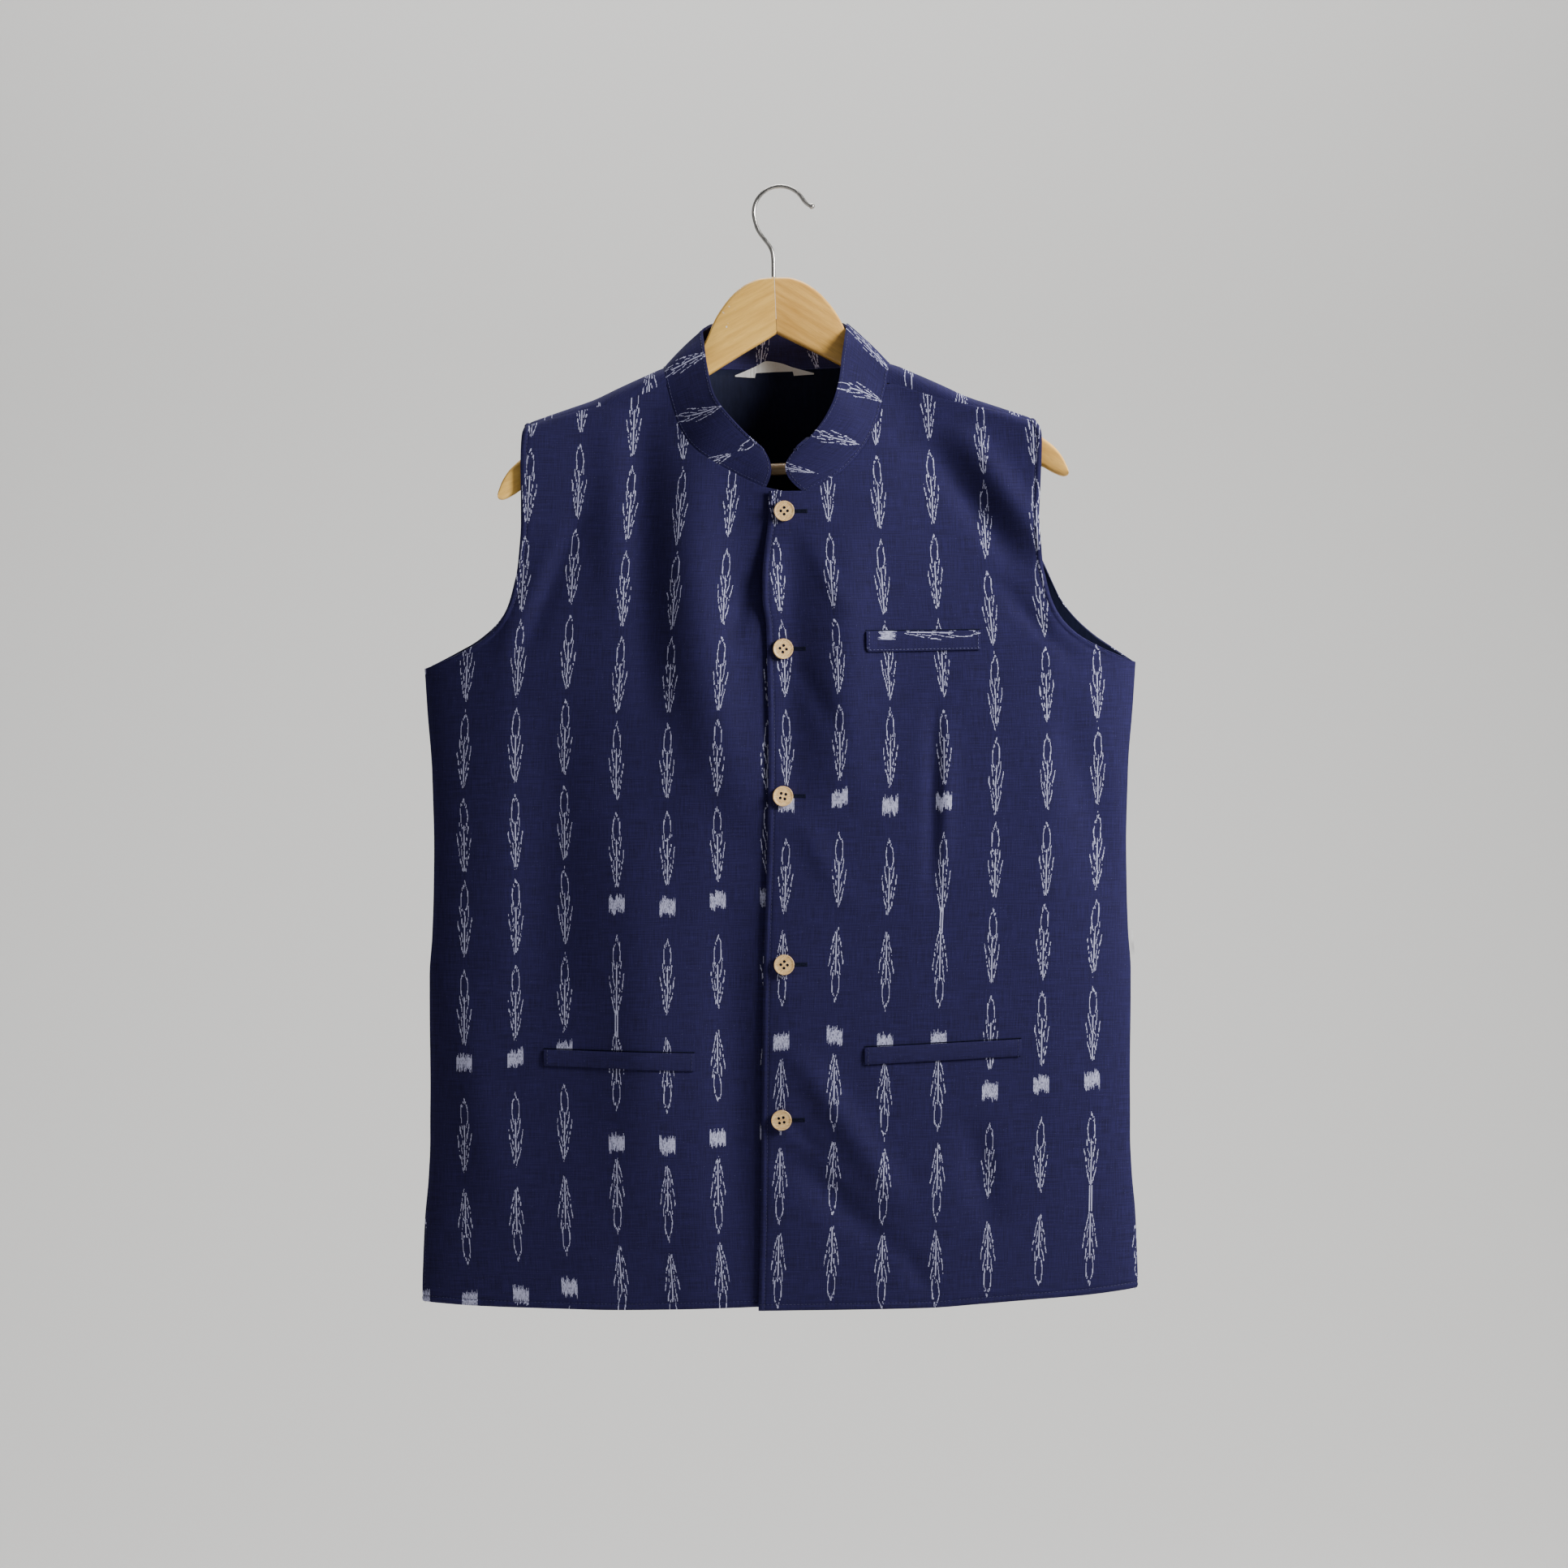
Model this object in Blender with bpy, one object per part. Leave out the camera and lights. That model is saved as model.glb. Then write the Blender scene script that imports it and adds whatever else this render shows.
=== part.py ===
"""A sleeveless nehru jacket of ikat cotton, buttoned, on a wooden trouser hanger.

The frame is the world's: +X to the viewer's right, +Y away from the viewer, +Z up, and the
origin is the inner crest of the hanger's hook, where the whole thing hangs. Cloth pieces are
walls. Each is drawn flat as a four-sided patch of (x, drop) points and laid on one garment
surface, so neighbours share their seam lines. Left and right are the wearer's.
"""
import math
from collections import namedtuple

import bmesh
import bpy
from mathutils import Quaternion, Vector
from mathutils.bvhtree import BVHTree

MM = 0.001

# Where the garment hangs
TAPE_ZERO = 5.2 * MM      # every drop below is measured from this far under the hook's crest
ROLL = 0.0098             # the jacket hangs a little lower on the viewer's left
NECK_X = -2.8 * MM        # the neck hole sits off the middle by this much

# Cloth thicknesses and the gaps at the seams
FRONT_CLOTH = 1.6 * MM
BACK_CLOTH = 1.3 * MM
LINING_CLOTH = 1.0 * MM
COLLAR_CLOTH = 2.0 * MM
TRIM_CLOTH = 1.6 * MM
LABEL_CLOTH = 0.5 * MM
SEAM_GAP = 0.3 * MM
TRIM_GAP = 0.45 * MM

# The form of the hanging jacket
ROUND = 9.2 * MM          # radius of the fold over the hanger's arm
ARM_BOW = 24.0 * MM       # the arms swing this far forward at ARM_REACH
ARM_REACH = 200.0 * MM
BOW_FADE = 350.0 * MM     # the bow dies away over this drop
SIDE_POWER = 6            # how square the body's plan is at the side seams
UNDERARM = 366.6 * MM
VENT_TOP = 779.0 * MM
VENT_SPREAD = 3.6 * MM
VENT_RUN = 80.0 * MM

RidgeRow = namedtuple("RidgeRow", "out drop")
SHOULDER_RIDGE = [
    RidgeRow(0.0, 127.5), RidgeRow(50.0, 128.3), RidgeRow(75.0, 130.2), RidgeRow(88.0, 133.4),
    RidgeRow(106.0, 141.1), RidgeRow(125.0, 149.9), RidgeRow(144.0, 159.2),
    RidgeRow(163.0, 166.1), RidgeRow(182.0, 173.0), RidgeRow(200.0, 179.9),
    RidgeRow(240.0, 194.5), RidgeRow(290.0, 212.5),
]
SideRow = namedtuple("SideRow", "drop out")
SIDE_SEAM = [
    SideRow(366.6, 275.3), SideRow(391.9, 273.7), SideRow(448.0, 269.8), SideRow(510.6, 268.4),
    SideRow(573.0, 270.0), SideRow(604.4, 272.3), SideRow(666.9, 271.8), SideRow(729.4, 271.8),
    SideRow(760.6, 273.1), SideRow(791.9, 275.9), SideRow(823.0, 277.2), SideRow(862.0, 277.8),
]
ArmholeRow = namedtuple("ArmholeRow", "drop front_right front_left back_right back_left")
ARMHOLE = [
    ArmholeRow(180.0, 197.0, 197.5, 197.6, 197.8), ArmholeRow(186.0, 198.6, 200.4, 197.9, 200.2),
    ArmholeRow(195.0, 199.4, 201.4, 198.3, 200.8), ArmholeRow(205.0, 199.7, 201.2, 198.6, 200.4),
    ArmholeRow(230.0, 199.4, 200.2, 198.4, 199.4), ArmholeRow(255.0, 199.3, 199.3, 198.4, 198.8),
    ArmholeRow(280.0, 201.0, 201.0, 200.0, 201.5), ArmholeRow(292.0, 202.3, 202.3, 201.8, 206.4),
    ArmholeRow(304.0, 205.0, 205.0, 205.2, 211.6), ArmholeRow(317.0, 208.5, 208.5, 210.5, 218.0),
    ArmholeRow(330.0, 215.0, 215.0, 218.5, 228.0), ArmholeRow(344.0, 228.0, 228.0, 234.0, 243.0),
    ArmholeRow(356.0, 249.0, 249.0, 254.5, 260.0), ArmholeRow(362.0, 263.0, 263.0, 266.0, 268.5),
    ArmholeRow(366.6, 275.3, 275.3, 275.3, 275.3),
]
# How far each face stands off the middle: loose cloth, and a bulge that is wide inwards
FaceForm = namedtuple("FaceForm", "loose settle bulge")
BulgeRow = namedtuple("BulgeRow", "drop depth width")
FRONT_FORM = FaceForm(12.0 * MM, 75.0 * MM, [
    BulgeRow(129.0, 16.0, 86.0), BulgeRow(136.0, 16.5, 88.0), BulgeRow(231.0, 20.0, 150.0),
    BulgeRow(366.0, 22.0, 262.0), BulgeRow(510.0, 18.0, 268.0), BulgeRow(690.0, 16.0, 275.0),
    BulgeRow(862.0, 18.0, 285.0),
])
BACK_FORM = FaceForm(6.0 * MM, 140.0 * MM, [
    BulgeRow(129.0, 19.0, 91.0), BulgeRow(136.0, 19.0, 90.0), BulgeRow(200.0, 18.0, 150.0),
    BulgeRow(366.0, 14.0, 262.0), BulgeRow(510.0, 10.0, 268.0), BulgeRow(862.0, 14.0, 285.0),
])

# The largest folds: a centre line through three x places, a half width and a height outwards
Fold = namedtuple("Fold", "drop_top drop_low x_top x_mid x_low width height")
FRONT_FOLDS = [
    Fold(165.0, 330.0, -129.0, -129.0, -129.0, 15.0, 2.5),
    Fold(165.0, 417.0, -105.6, -103.5, -100.6, 14.0, -2.5),
    Fold(190.0, 500.0, -66.0, -62.0, -20.0, 26.0, 6.5),
    Fold(386.0, 667.0, -176.0, -182.0, -190.0, 30.0, -4.0),
    Fold(479.0, 817.0, -113.0, -106.0, -100.6, 30.0, 4.0),
    Fold(542.0, 854.0, -38.0, -35.0, -33.0, 20.0, -3.0),
    Fold(604.0, 792.0, -252.0, -236.0, -219.0, 20.0, 3.0),
    Fold(254.0, 479.0, 8.8, 8.8, 8.8, 16.0, -2.5),
    Fold(254.0, 479.0, 49.4, 49.4, 49.4, 22.0, 3.5),
    Fold(190.0, 300.0, 112.0, 150.0, 188.0, 13.0, -3.0),
    Fold(180.0, 285.0, 136.0, 172.0, 206.0, 14.0, 4.0),
    Fold(386.0, 554.0, 212.0, 238.0, 256.0, 18.0, -3.0),
    Fold(655.0, 790.0, 5.0, 52.0, 96.0, 14.0, 3.5),
    Fold(735.0, 825.0, 2.0, 45.0, 92.0, 16.0, -3.0),
    Fold(713.0, 806.0, 145.0, 154.0, 164.0, 13.0, -3.0),
]
BACK_FOLDS = [
    Fold(175.0, 470.0, -92.0, -88.0, -60.0, 22.0, 4.0),
    Fold(175.0, 450.0, 90.0, 86.0, 66.0, 24.0, 3.5),
    Fold(230.0, 640.0, 4.0, -6.0, 8.0, 26.0, -3.5),
    Fold(420.0, 800.0, -150.0, -142.0, -150.0, 28.0, 3.5),
    Fold(440.0, 840.0, 132.0, 146.0, 140.0, 30.0, 4.0),
    Fold(560.0, 850.0, 62.0, 58.0, 66.0, 24.0, -3.0),
    Fold(380.0, 620.0, 214.0, 222.0, 214.0, 20.0, -2.5),
]

# Neckline and collar: the seam, then the band's top edge above it, outwards from NECK_X
BandRow = namedtuple("BandRow", "out drop top_out top_drop top_y")
NECK_RIGHT = [          # the wearer's right, on the viewer's left
    BandRow(8.6, 229.6, 10.2, 199.6, -37.0), BandRow(24.7, 222.0, 21.6, 189.8, -37.5),
    BandRow(43.75, 211.6, 35.0, 175.6, -36.5), BandRow(62.8, 198.7, 43.8, 164.6, -33.5),
    BandRow(74.0, 182.7, 49.2, 153.8, -28.5), BandRow(82.2, 158.5, 54.2, 130.6, -20.0),
    BandRow(84.5, 149.5, 55.8, 119.0, -15.0), BandRow(88.0, 133.4, 57.6, 104.6, -5.0),
]
NECK_LEFT = [
    BandRow(21.6, 233.0, 16.9, 199.7, -38.0), BandRow(35.9, 226.6, 29.7, 187.1, -37.5),
    BandRow(51.9, 215.9, 38.0, 175.1, -36.0), BandRow(67.8, 196.9, 45.0, 159.8, -33.0),
    BandRow(77.2, 177.6, 48.7, 144.5, -27.0), BandRow(82.2, 158.7, 50.8, 126.0, -20.0),
    BandRow(84.5, 149.5, 52.6, 114.4, -15.0), BandRow(88.0, 133.4, 54.6, 100.5, -5.0),
]
NECK_BACK = [
    BandRow(0.0, 133.4, 0.0, 92.2, 35.0), BandRow(35.0, 133.4, 24.0, 93.1, 32.0),
    BandRow(62.0, 133.4, 42.0, 95.1, 24.0), BandRow(80.0, 133.2, 52.4, 98.6, 11.0),
    BandRow(88.0, 133.4, 55.8, 102.8, -5.0),
]
NECK_AT_RIDGE = 88.0 * MM   # outwards from NECK_X, where the collar crosses the ridge
SEAM_AT_NECK = 84.5         # and where the shoulder seam meets it, in the tables' millimetres
SeamRow = namedtuple("SeamRow", "out below_ridge")
SHOULDER_SEAM = [
    SeamRow(78.0, 17.0), SeamRow(88.0, 16.0), SeamRow(117.0, 13.0), SeamRow(152.0, 5.5),
    SeamRow(197.0, 1.6),
]
BAND_HEIGHTS = (0.0, 0.15, 0.4, 0.7, 0.9, 1.0)
NOSE_RIGHT = 5.5 * MM     # how far the rounded collar ends swell towards each other
NOSE_LEFT = 12.5 * MM
NOSE_CELLS = 4.0
COLLAR_GAP = 0.4 * MM

# Centre front
PlacketRow = namedtuple("PlacketRow", "drop x")
OVER_EDGE = [
    PlacketRow(233.0, -8.75), PlacketRow(254.0, -9.1), PlacketRow(276.0, -11.6),
    PlacketRow(297.5, -13.4), PlacketRow(316.0, -13.4), PlacketRow(335.6, -10.6),
    PlacketRow(379.0, -9.6), PlacketRow(423.0, -8.75), PlacketRow(510.6, -10.0),
    PlacketRow(567.0, -11.9), PlacketRow(667.0, -14.0), PlacketRow(785.6, -15.0),
    PlacketRow(863.0, -16.7),
]
UNDER_EDGE = [PlacketRow(236.0, 20.0), PlacketRow(540.0, 18.0), PlacketRow(863.0, 15.0)]
UNDER_TOP = ((20.0, 237.0), (6.0, 236.0), (-7.0, 234.8))
TUCK = 3.4 * MM           # the under front lies this much behind the over front
TUCK_START = -25.0 * MM
TUCK_END = -72.0 * MM
LIFT = 5.0 * MM           # the over front's edge stands forward between the first buttons
LIFT_DROP = 302.0 * MM
LIFT_HALF = 24.0 * MM
LIFT_REACH = 26.0 * MM

# Hems, by x
HemRow = namedtuple("HemRow", "x drop")
OVER_HEM = [
    HemRow(-17.0, 862.6), HemRow(60.0, 862.5), HemRow(112.0, 862.2), HemRow(156.0, 859.8),
    HemRow(194.0, 857.4), HemRow(232.0, 855.2), HemRow(278.0, 850.8),
]
UNDER_HEM = [
    HemRow(-278.0, 856.0), HemRow(-257.0, 857.2), HemRow(-238.0, 858.4), HemRow(-182.0, 860.2),
    HemRow(-120.0, 861.6), HemRow(-50.0, 860.8), HemRow(16.0, 859.0),
]
BACK_HEM = [
    HemRow(-278.0, 855.0), HemRow(-150.0, 858.5), HemRow(0.0, 860.5), HemRow(150.0, 857.5),
    HemRow(278.0, 850.5),
]

# The grids that the walls are built on
EdgeRows = namedtuple("EdgeRows", "armhole side")
FRONT_ROWS = EdgeRows(
    (185.5, 203.0, 228.0, 253.0, 278.0, 300.0, 318.0, 332.0, 345.0, 357.0, 366.6),
    (378.0, 396.0, 420.0, 450.0, 482.0, 515.0, 550.0, 590.0, 630.0, 670.0, 710.0, 748.0,
     779.0, 806.0, 832.0, 856.0))
BACK_ROWS = EdgeRows(
    (182.0, 188.0, 203.0, 228.0, 253.0, 278.0, 300.0, 318.0, 332.0, 345.0, 357.0, 366.6),
    (380.0, 406.0, 446.0, 496.0, 550.0, 610.0, 670.0, 730.0, 779.0, 816.0, 856.0))
ARMHOLE_AT_SEAM = 197.0 * MM
ARMHOLE_AT_RIDGE = 197.6 * MM
SIDE_AT_HEM = 277.6 * MM
NECK_CELLS = 7
SHOULDER_CELLS = 9
BACK_NECK_CELLS = 8
RIDGE_CELLS = 3
SIDE_CROWDING = 1.4       # columns draw together towards the side seam

Welt = namedtuple("Welt", "name x_in top_in low_in x_out top_out low_out")
CHEST_WELT = Welt("chest_welt", 65.8, 341.6, 357.6, 153.9, 341.5, 356.5)
HIP_WELT_LEFT = Welt("hip_welt_left", 65.0, 661.2, 674.4, 185.8, 656.2, 669.3)
HIP_WELT_RIGHT = Welt("hip_welt_right", -65.8, 664.4, 678.2, -181.8, 660.7, 673.2)
WELT_CELLS = (10, 2)

# Buttons
ButtonPlace = namedtuple("ButtonPlace", "x drop turn")
BUTTONS = [
    ButtonPlace(3.1, 248.8, 45), ButtonPlace(1.9, 354.4, 37), ButtonPlace(1.9, 467.5, -12),
    ButtonPlace(3.1, 596.9, 42), ButtonPlace(1.2, 716.3, 10),
]
BUTTON_RADIUS = 7.8 * MM
BUTTON_THICKNESS = 3.0 * MM
BUTTON_DISH = 0.8 * MM
BUTTON_RIM = 1.7 * MM
BUTTON_SIDES = 16
BUTTON_HOLE_SIDES = 6
BUTTON_HOLE = 0.85 * MM
BUTTON_HOLE_OFFSET = 1.8 * MM
BUTTON_SHANK = 0.9 * MM

# Labels
LabelRow = namedtuple("LabelRow", "x top low")
NECK_LABEL = [          # its two ends are folded down, so they hang lower than its middle
    LabelRow(-35.2, 137.9, 139.0), LabelRow(-27.0, 134.4, 139.4), LabelRow(-19.8, 131.0, 139.7),
    LabelRow(-19.2, 130.7, 136.0), LabelRow(-10.4, 126.5, 135.4), LabelRow(-0.6, 127.9, 134.9),
    LabelRow(10.0, 131.6, 134.8), LabelRow(10.6, 131.8, 138.2), LabelRow(18.5, 134.2, 137.8),
    LabelRow(26.4, 136.4, 137.6),
]
NECK_LABEL_LEVELS = 6
SIDE_LABEL_TOP = 573.0 * MM
SIDE_LABEL_LOW = 593.0 * MM
SIDE_LABEL_OUT = 3.0 * MM

# The hanger, in its own frame: outwards from its middle, drops as the jacket's
HANGER_X = -4.5 * MM
HANGER_LEVEL = 64.1 * MM
HANGER_ROLL = math.radians(-2.4)
HANGER_THICKNESS = 10.6 * MM
HANGER_TIP_THICKNESS = 8.4 * MM
HANGER_EDGE = 3.6 * MM
HANGER_MITRE = 0.3 * MM
HangerRow = namedtuple("HangerRow", "out top low")
HANGER_ARM = [
    HangerRow(0.0, 64.1, 108.2), HangerRow(10.0, 64.6, 113.6), HangerRow(20.0, 67.6, 119.0),
    HangerRow(28.0, 72.4, 123.4), HangerRow(35.0, 78.4, 127.4), HangerRow(41.0, 85.5, 130.8),
    HangerRow(46.0, 92.5, 133.8), HangerRow(50.0, 100.0, 136.1), HangerRow(53.5, 107.8, 138.1),
    HangerRow(58.0, 115.2, 140.6), HangerRow(66.0, 124.8, 145.0), HangerRow(76.0, 136.0, 150.6),
    HangerRow(86.0, 142.5, 156.2), HangerRow(96.0, 146.0, 162.0), HangerRow(106.0, 149.4, 167.6),
    HangerRow(125.0, 158.8, 178.5), HangerRow(144.0, 168.8, 189.4), HangerRow(163.5, 176.5, 200.8),
    HangerRow(164.5, 176.8, 224.6), HangerRow(171.0, 179.4, 228.2), HangerRow(178.0, 182.4, 228.8),
    HangerRow(185.0, 185.8, 226.8), HangerRow(191.0, 190.4, 221.4), HangerRow(197.0, 195.8, 220.6),
    HangerRow(201.0, 199.0, 222.2), HangerRow(206.0, 203.2, 225.6), HangerRow(210.5, 207.5, 228.2),
    HangerRow(214.0, 212.2, 229.8), HangerRow(216.8, 217.0, 230.4), HangerRow(219.0, 222.5, 229.9),
    HangerRow(219.9, 226.0, 228.6),
]
BAR_RADIUS = 4.5 * MM
BAR_HALF = 163.6 * MM
BAR_DROP = 214.5 * MM
BAR_Y = -14.5 * MM
BAR_SIDES = 16

# The hook: a stem, a swan neck, most of a circle and a turned-out tip
HOOK_WIRE = 1.6 * MM
HOOK_RADIUS = 20.6 * MM
HOOK_SEAT_GAP = 0.4 * MM
HookPoint = namedtuple("HookPoint", "x drop")
HOOK_STEM = [HookPoint(-5.2, 55.0), HookPoint(-5.2, 46.3), HookPoint(-7.4, 40.3),
             HookPoint(-12.5, 34.2), HookPoint(-18.0, 27.2)]
HOOK_TIP = [HookPoint(20.4, 6.6), HookPoint(24.8, 8.6)]
HOOK_START = math.radians(188.0)
HOOK_END = math.radians(28.0)
HOOK_STEPS = 12

Finish = namedtuple("Finish", "name colour roughness metallic")
IKAT = Finish("ikat_cotton", (0.028, 0.028, 0.085, 1.0), 0.85, 0.0)
LINING = Finish("navy_lining", (0.012, 0.013, 0.035, 1.0), 0.6, 0.0)
BUTTON_WOOD = Finish("button_wood", (0.55, 0.36, 0.18, 1.0), 0.5, 0.0)
HANGER_WOOD = Finish("hanger_wood", (0.42, 0.24, 0.12, 1.0), 0.4, 0.0)
STEEL = Finish("hook_steel", (0.55, 0.55, 0.55, 1.0), 0.3, 1.0)
SATIN = Finish("label_satin", (0.8, 0.8, 0.78, 1.0), 0.5, 0.0)


class Profile:
    """A smooth curve through a table's rows, keyed by its first column, with no overshoot.

    Keys and values in the tables are millimetres, and they come out in metres.
    """

    def __init__(self, rows):
        self.keys = [row[0] * MM for row in rows]
        self.columns = [[value * MM for value in column] for column in list(zip(*rows))[1:]]
        self.slopes = [self.tangents(column) for column in self.columns]

    def tangents(self, values):
        count = len(values)
        chords = [(values[i + 1] - values[i]) / (self.keys[i + 1] - self.keys[i])
                  for i in range(count - 1)]
        slopes = [chords[0]]
        for before, after in zip(chords, chords[1:]):
            steady = before * after > 0
            slopes.append(2 * before * after / (before + after) if steady else 0.0)
        slopes.append(chords[-1])
        return slopes

    def row(self, key):
        key = min(max(key, self.keys[0]), self.keys[-1])
        i = 0
        while i < len(self.keys) - 2 and key > self.keys[i + 1]:
            i += 1
        span = self.keys[i + 1] - self.keys[i]
        t = (key - self.keys[i]) / span
        ease = t * t * (3 - 2 * t)
        values = []
        for column, slope in zip(self.columns, self.slopes):
            bend = span * (t * (1 - t) ** 2 * slope[i] - t * t * (1 - t) * slope[i + 1])
            values.append(column[i] * (1 - ease) + column[i + 1] * ease + bend)
        return values

    def __call__(self, key):
        return self.row(key)[0]


ridge = Profile(SHOULDER_RIDGE)
side_seam = Profile(SIDE_SEAM)
armhole = Profile(ARMHOLE)
shoulder_seam = Profile(SHOULDER_SEAM)
bulges = {1: Profile(FRONT_FORM.bulge), -1: Profile(BACK_FORM.bulge)}


def ease(value):
    value = min(max(value, 0.0), 1.0)
    return value * value * (3 - 2 * value)


def fold_height(folds, x, drop):
    """The height of the folds at a place, each swelling and dying along its own length."""
    height = 0.0
    for fold in folds:
        along = (drop / MM - fold.drop_top) / (fold.drop_low - fold.drop_top)
        if not 0.0 < along < 1.0:
            continue
        middle = (fold.x_top * (1 - along) * (1 - 2 * along) + 4 * fold.x_mid * along * (1 - along)
                  - fold.x_low * along * (1 - 2 * along))
        across = (x / MM - middle) / fold.width
        height += fold.height * MM * math.sin(math.pi * along) ** 0.8 * math.exp(-across * across)
    return height


def tuck(x, drop):
    """The under front drops behind the over front towards the middle."""
    return -TUCK * ease((x - TUCK_END) / (TUCK_START - TUCK_END))


def lift(x, drop):
    """The over front's edge stands away from the under front between two buttons."""
    along = (drop - LIFT_DROP) / LIFT_HALF
    return LIFT * math.exp(-along * along) * (1 - ease((x + 14.0 * MM) / LIFT_REACH))


def flat(x, drop):
    return 0.0


def depth_of(fall):
    """How far below the shoulder ridge a place is, from its fall along the cloth."""
    fall = abs(fall)
    if fall < ROUND:
        return fall * fall / (2 * ROUND)
    return fall - ROUND / 2


def fall_of(depth):
    depth = max(depth, 0.0)
    if depth < ROUND / 2:
        return math.sqrt(2 * ROUND * depth)
    return depth + ROUND / 2


def garment(x, fall, extra=flat):
    """A place on the jacket. Fall is the way down from the ridge, and below zero at the back."""
    face = 1 if fall > 0 else -1
    form = FRONT_FORM if face > 0 else BACK_FORM
    out = abs(x)
    depth = depth_of(fall)
    drop = ridge(out) + depth
    level = min(depth / ROUND, 1.0)
    over_arm = ROUND * math.sqrt(1 - (1 - level) ** 2)
    loose = form.loose * (1 - math.exp(-depth / form.settle))
    bulge, width = bulges[face].row(drop)
    swell = bulge * max(1 - (x / width) ** 2, 0.0) ** 2
    folds = fold_height(FRONT_FOLDS if face > 0 else BACK_FOLDS, x, drop)
    sideways = min(out / side_seam(drop), 1.0) ** SIDE_POWER
    half = (over_arm + loose + swell + folds + extra(x, drop)) * math.sqrt(1 - sideways)
    half += SEAM_GAP / 2 * level
    half += VENT_SPREAD * ease((drop - VENT_TOP) / VENT_RUN) * sideways
    middle = -ARM_BOW * (min(out, 210.0 * MM) / ARM_REACH) ** 2 * math.exp(-depth / BOW_FADE)
    return Vector((x, middle - face * half, ROLL * x - drop - TAPE_ZERO))


def facing(x, fall, extra=flat):
    """The outward direction of the cloth at a place."""
    step = 0.6 * MM
    across = garment(x + step, fall, extra) - garment(x - step, fall, extra)
    if abs(fall) > ROUND:
        down = garment(x, fall + step, extra) - garment(x, fall - step, extra)
    else:
        down = garment(x, fall + step) - garment(x, fall - step)
    return down.cross(across).normalized()


Spot = namedtuple("Spot", "point normal")


def spot(face, x, drop, extra=flat):
    """A place and its outward direction on the front (1) or the back (-1)."""
    fall = face * max(fall_of(drop - ridge(abs(x))), 0.01 * MM)
    if drop > UNDERARM - MM and abs(x) > side_seam(drop) - 0.2 * MM:
        return Spot(garment(x, fall, extra), Vector((math.copysign(1.0, x), 0.0, 0.0)))
    return Spot(garment(x, fall, extra), facing(x, fall, extra))


def patch(top, bottom, start, end):
    """Fill the flat shape between four edges of (x, drop) points with a grid of such points."""
    width = bottom[-1].x - bottom[0].x
    height = end[-1].y - end[0].y
    rows = []
    for begin, finish in zip(start, end):
        v = (finish.y - end[0].y) / height
        row = []
        for above, below in zip(top, bottom):
            u = (below.x - bottom[0].x) / width
            corners = ((top[0] * (1 - u) + top[-1] * u) * (1 - v)
                       + (bottom[0] * (1 - u) + bottom[-1] * u) * v)
            row.append(above * (1 - v) + below * v + begin * (1 - u) + finish * u - corners)
        rows.append(row)
    return rows


def shoulder_outs(neck_out, armhole_out):
    """The columns of a shoulder, which the front and the back share."""
    return [neck_out + (armhole_out - neck_out) * share for share in crowd(SHOULDER_CELLS)]


def crowd(count):
    """Fractions across a panel that draw together towards its side seam."""
    return [1 - (1 - i / count) ** SIDE_CROWDING for i in range(count + 1)]


def neckline(rows, cells):
    """Points along a neckline table at even steps of its length, up to the shoulder seam."""
    lengths = [0.0]
    for before, after in zip(rows, rows[1:]):
        lengths.append(lengths[-1] + math.hypot(after.out - before.out, after.drop - before.drop))
    track = Profile([(length,) + tuple(row) for length, row in zip(lengths, rows)])
    return [BandRow(*track.row(lengths[-1] * MM * i / cells)) for i in range(cells + 1)]


def side_edge(rows, edge_name, sign, hem_drop):
    """Armhole and side seam as a list of (x, drop) points, from the shoulder down."""
    column = ArmholeRow._fields.index(edge_name) - 1
    points = []
    for drop in rows.armhole:
        points.append(Vector((sign * armhole.row(drop * MM)[column], drop * MM)))
    for drop in rows.side:
        down = (drop - rows.armhole[-1]) / (rows.side[-1] - rows.armhole[-1])
        true_drop = UNDERARM + down * (hem_drop - UNDERARM)
        points.append(Vector((sign * side_seam(true_drop), true_drop)))
    return points


def front_grid(sign, neck_rows, lead_in, edge_rows, hem_rows):
    """The flat grid of one front: lead_in is its top edge from the centre to the collar."""
    neck = neckline([row for row in neck_rows if row.out <= SEAM_AT_NECK], NECK_CELLS)
    top = list(lead_in)
    top += [Vector((NECK_X + sign * row.out, row.drop)) for row in neck]
    cells = len(top) - 1 + SHOULDER_CELLS
    across = crowd(cells)
    start_x = abs(top[-1].x)
    for out in shoulder_outs(start_x, ARMHOLE_AT_SEAM)[1:]:
        top.append(Vector((sign * out, ridge(out) + shoulder_seam(out) + SEAM_GAP)))
    hem = Profile(hem_rows)
    edge = Profile(edge_rows)
    edge_name = "front_left" if sign > 0 else "front_right"
    end = [top[-1]] + side_edge(FRONT_ROWS, edge_name, sign, hem(sign * SIDE_AT_HEM))
    height = end[-1].y - end[0].y
    start = []
    for point in end:
        drop = top[0].y + (hem(edge(1.0)) - top[0].y) * (point.y - end[0].y) / height
        start.append(Vector((edge(drop), drop)))
    start[0] = top[0]
    bottom = []
    for share in across:
        x = start[-1].x + (end[-1].x - start[-1].x) * share
        bottom.append(Vector((x, hem(x))))
    bottom[0] = start[-1]
    bottom[-1] = end[-1]
    return patch(top, bottom, start, end), len(lead_in)


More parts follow.
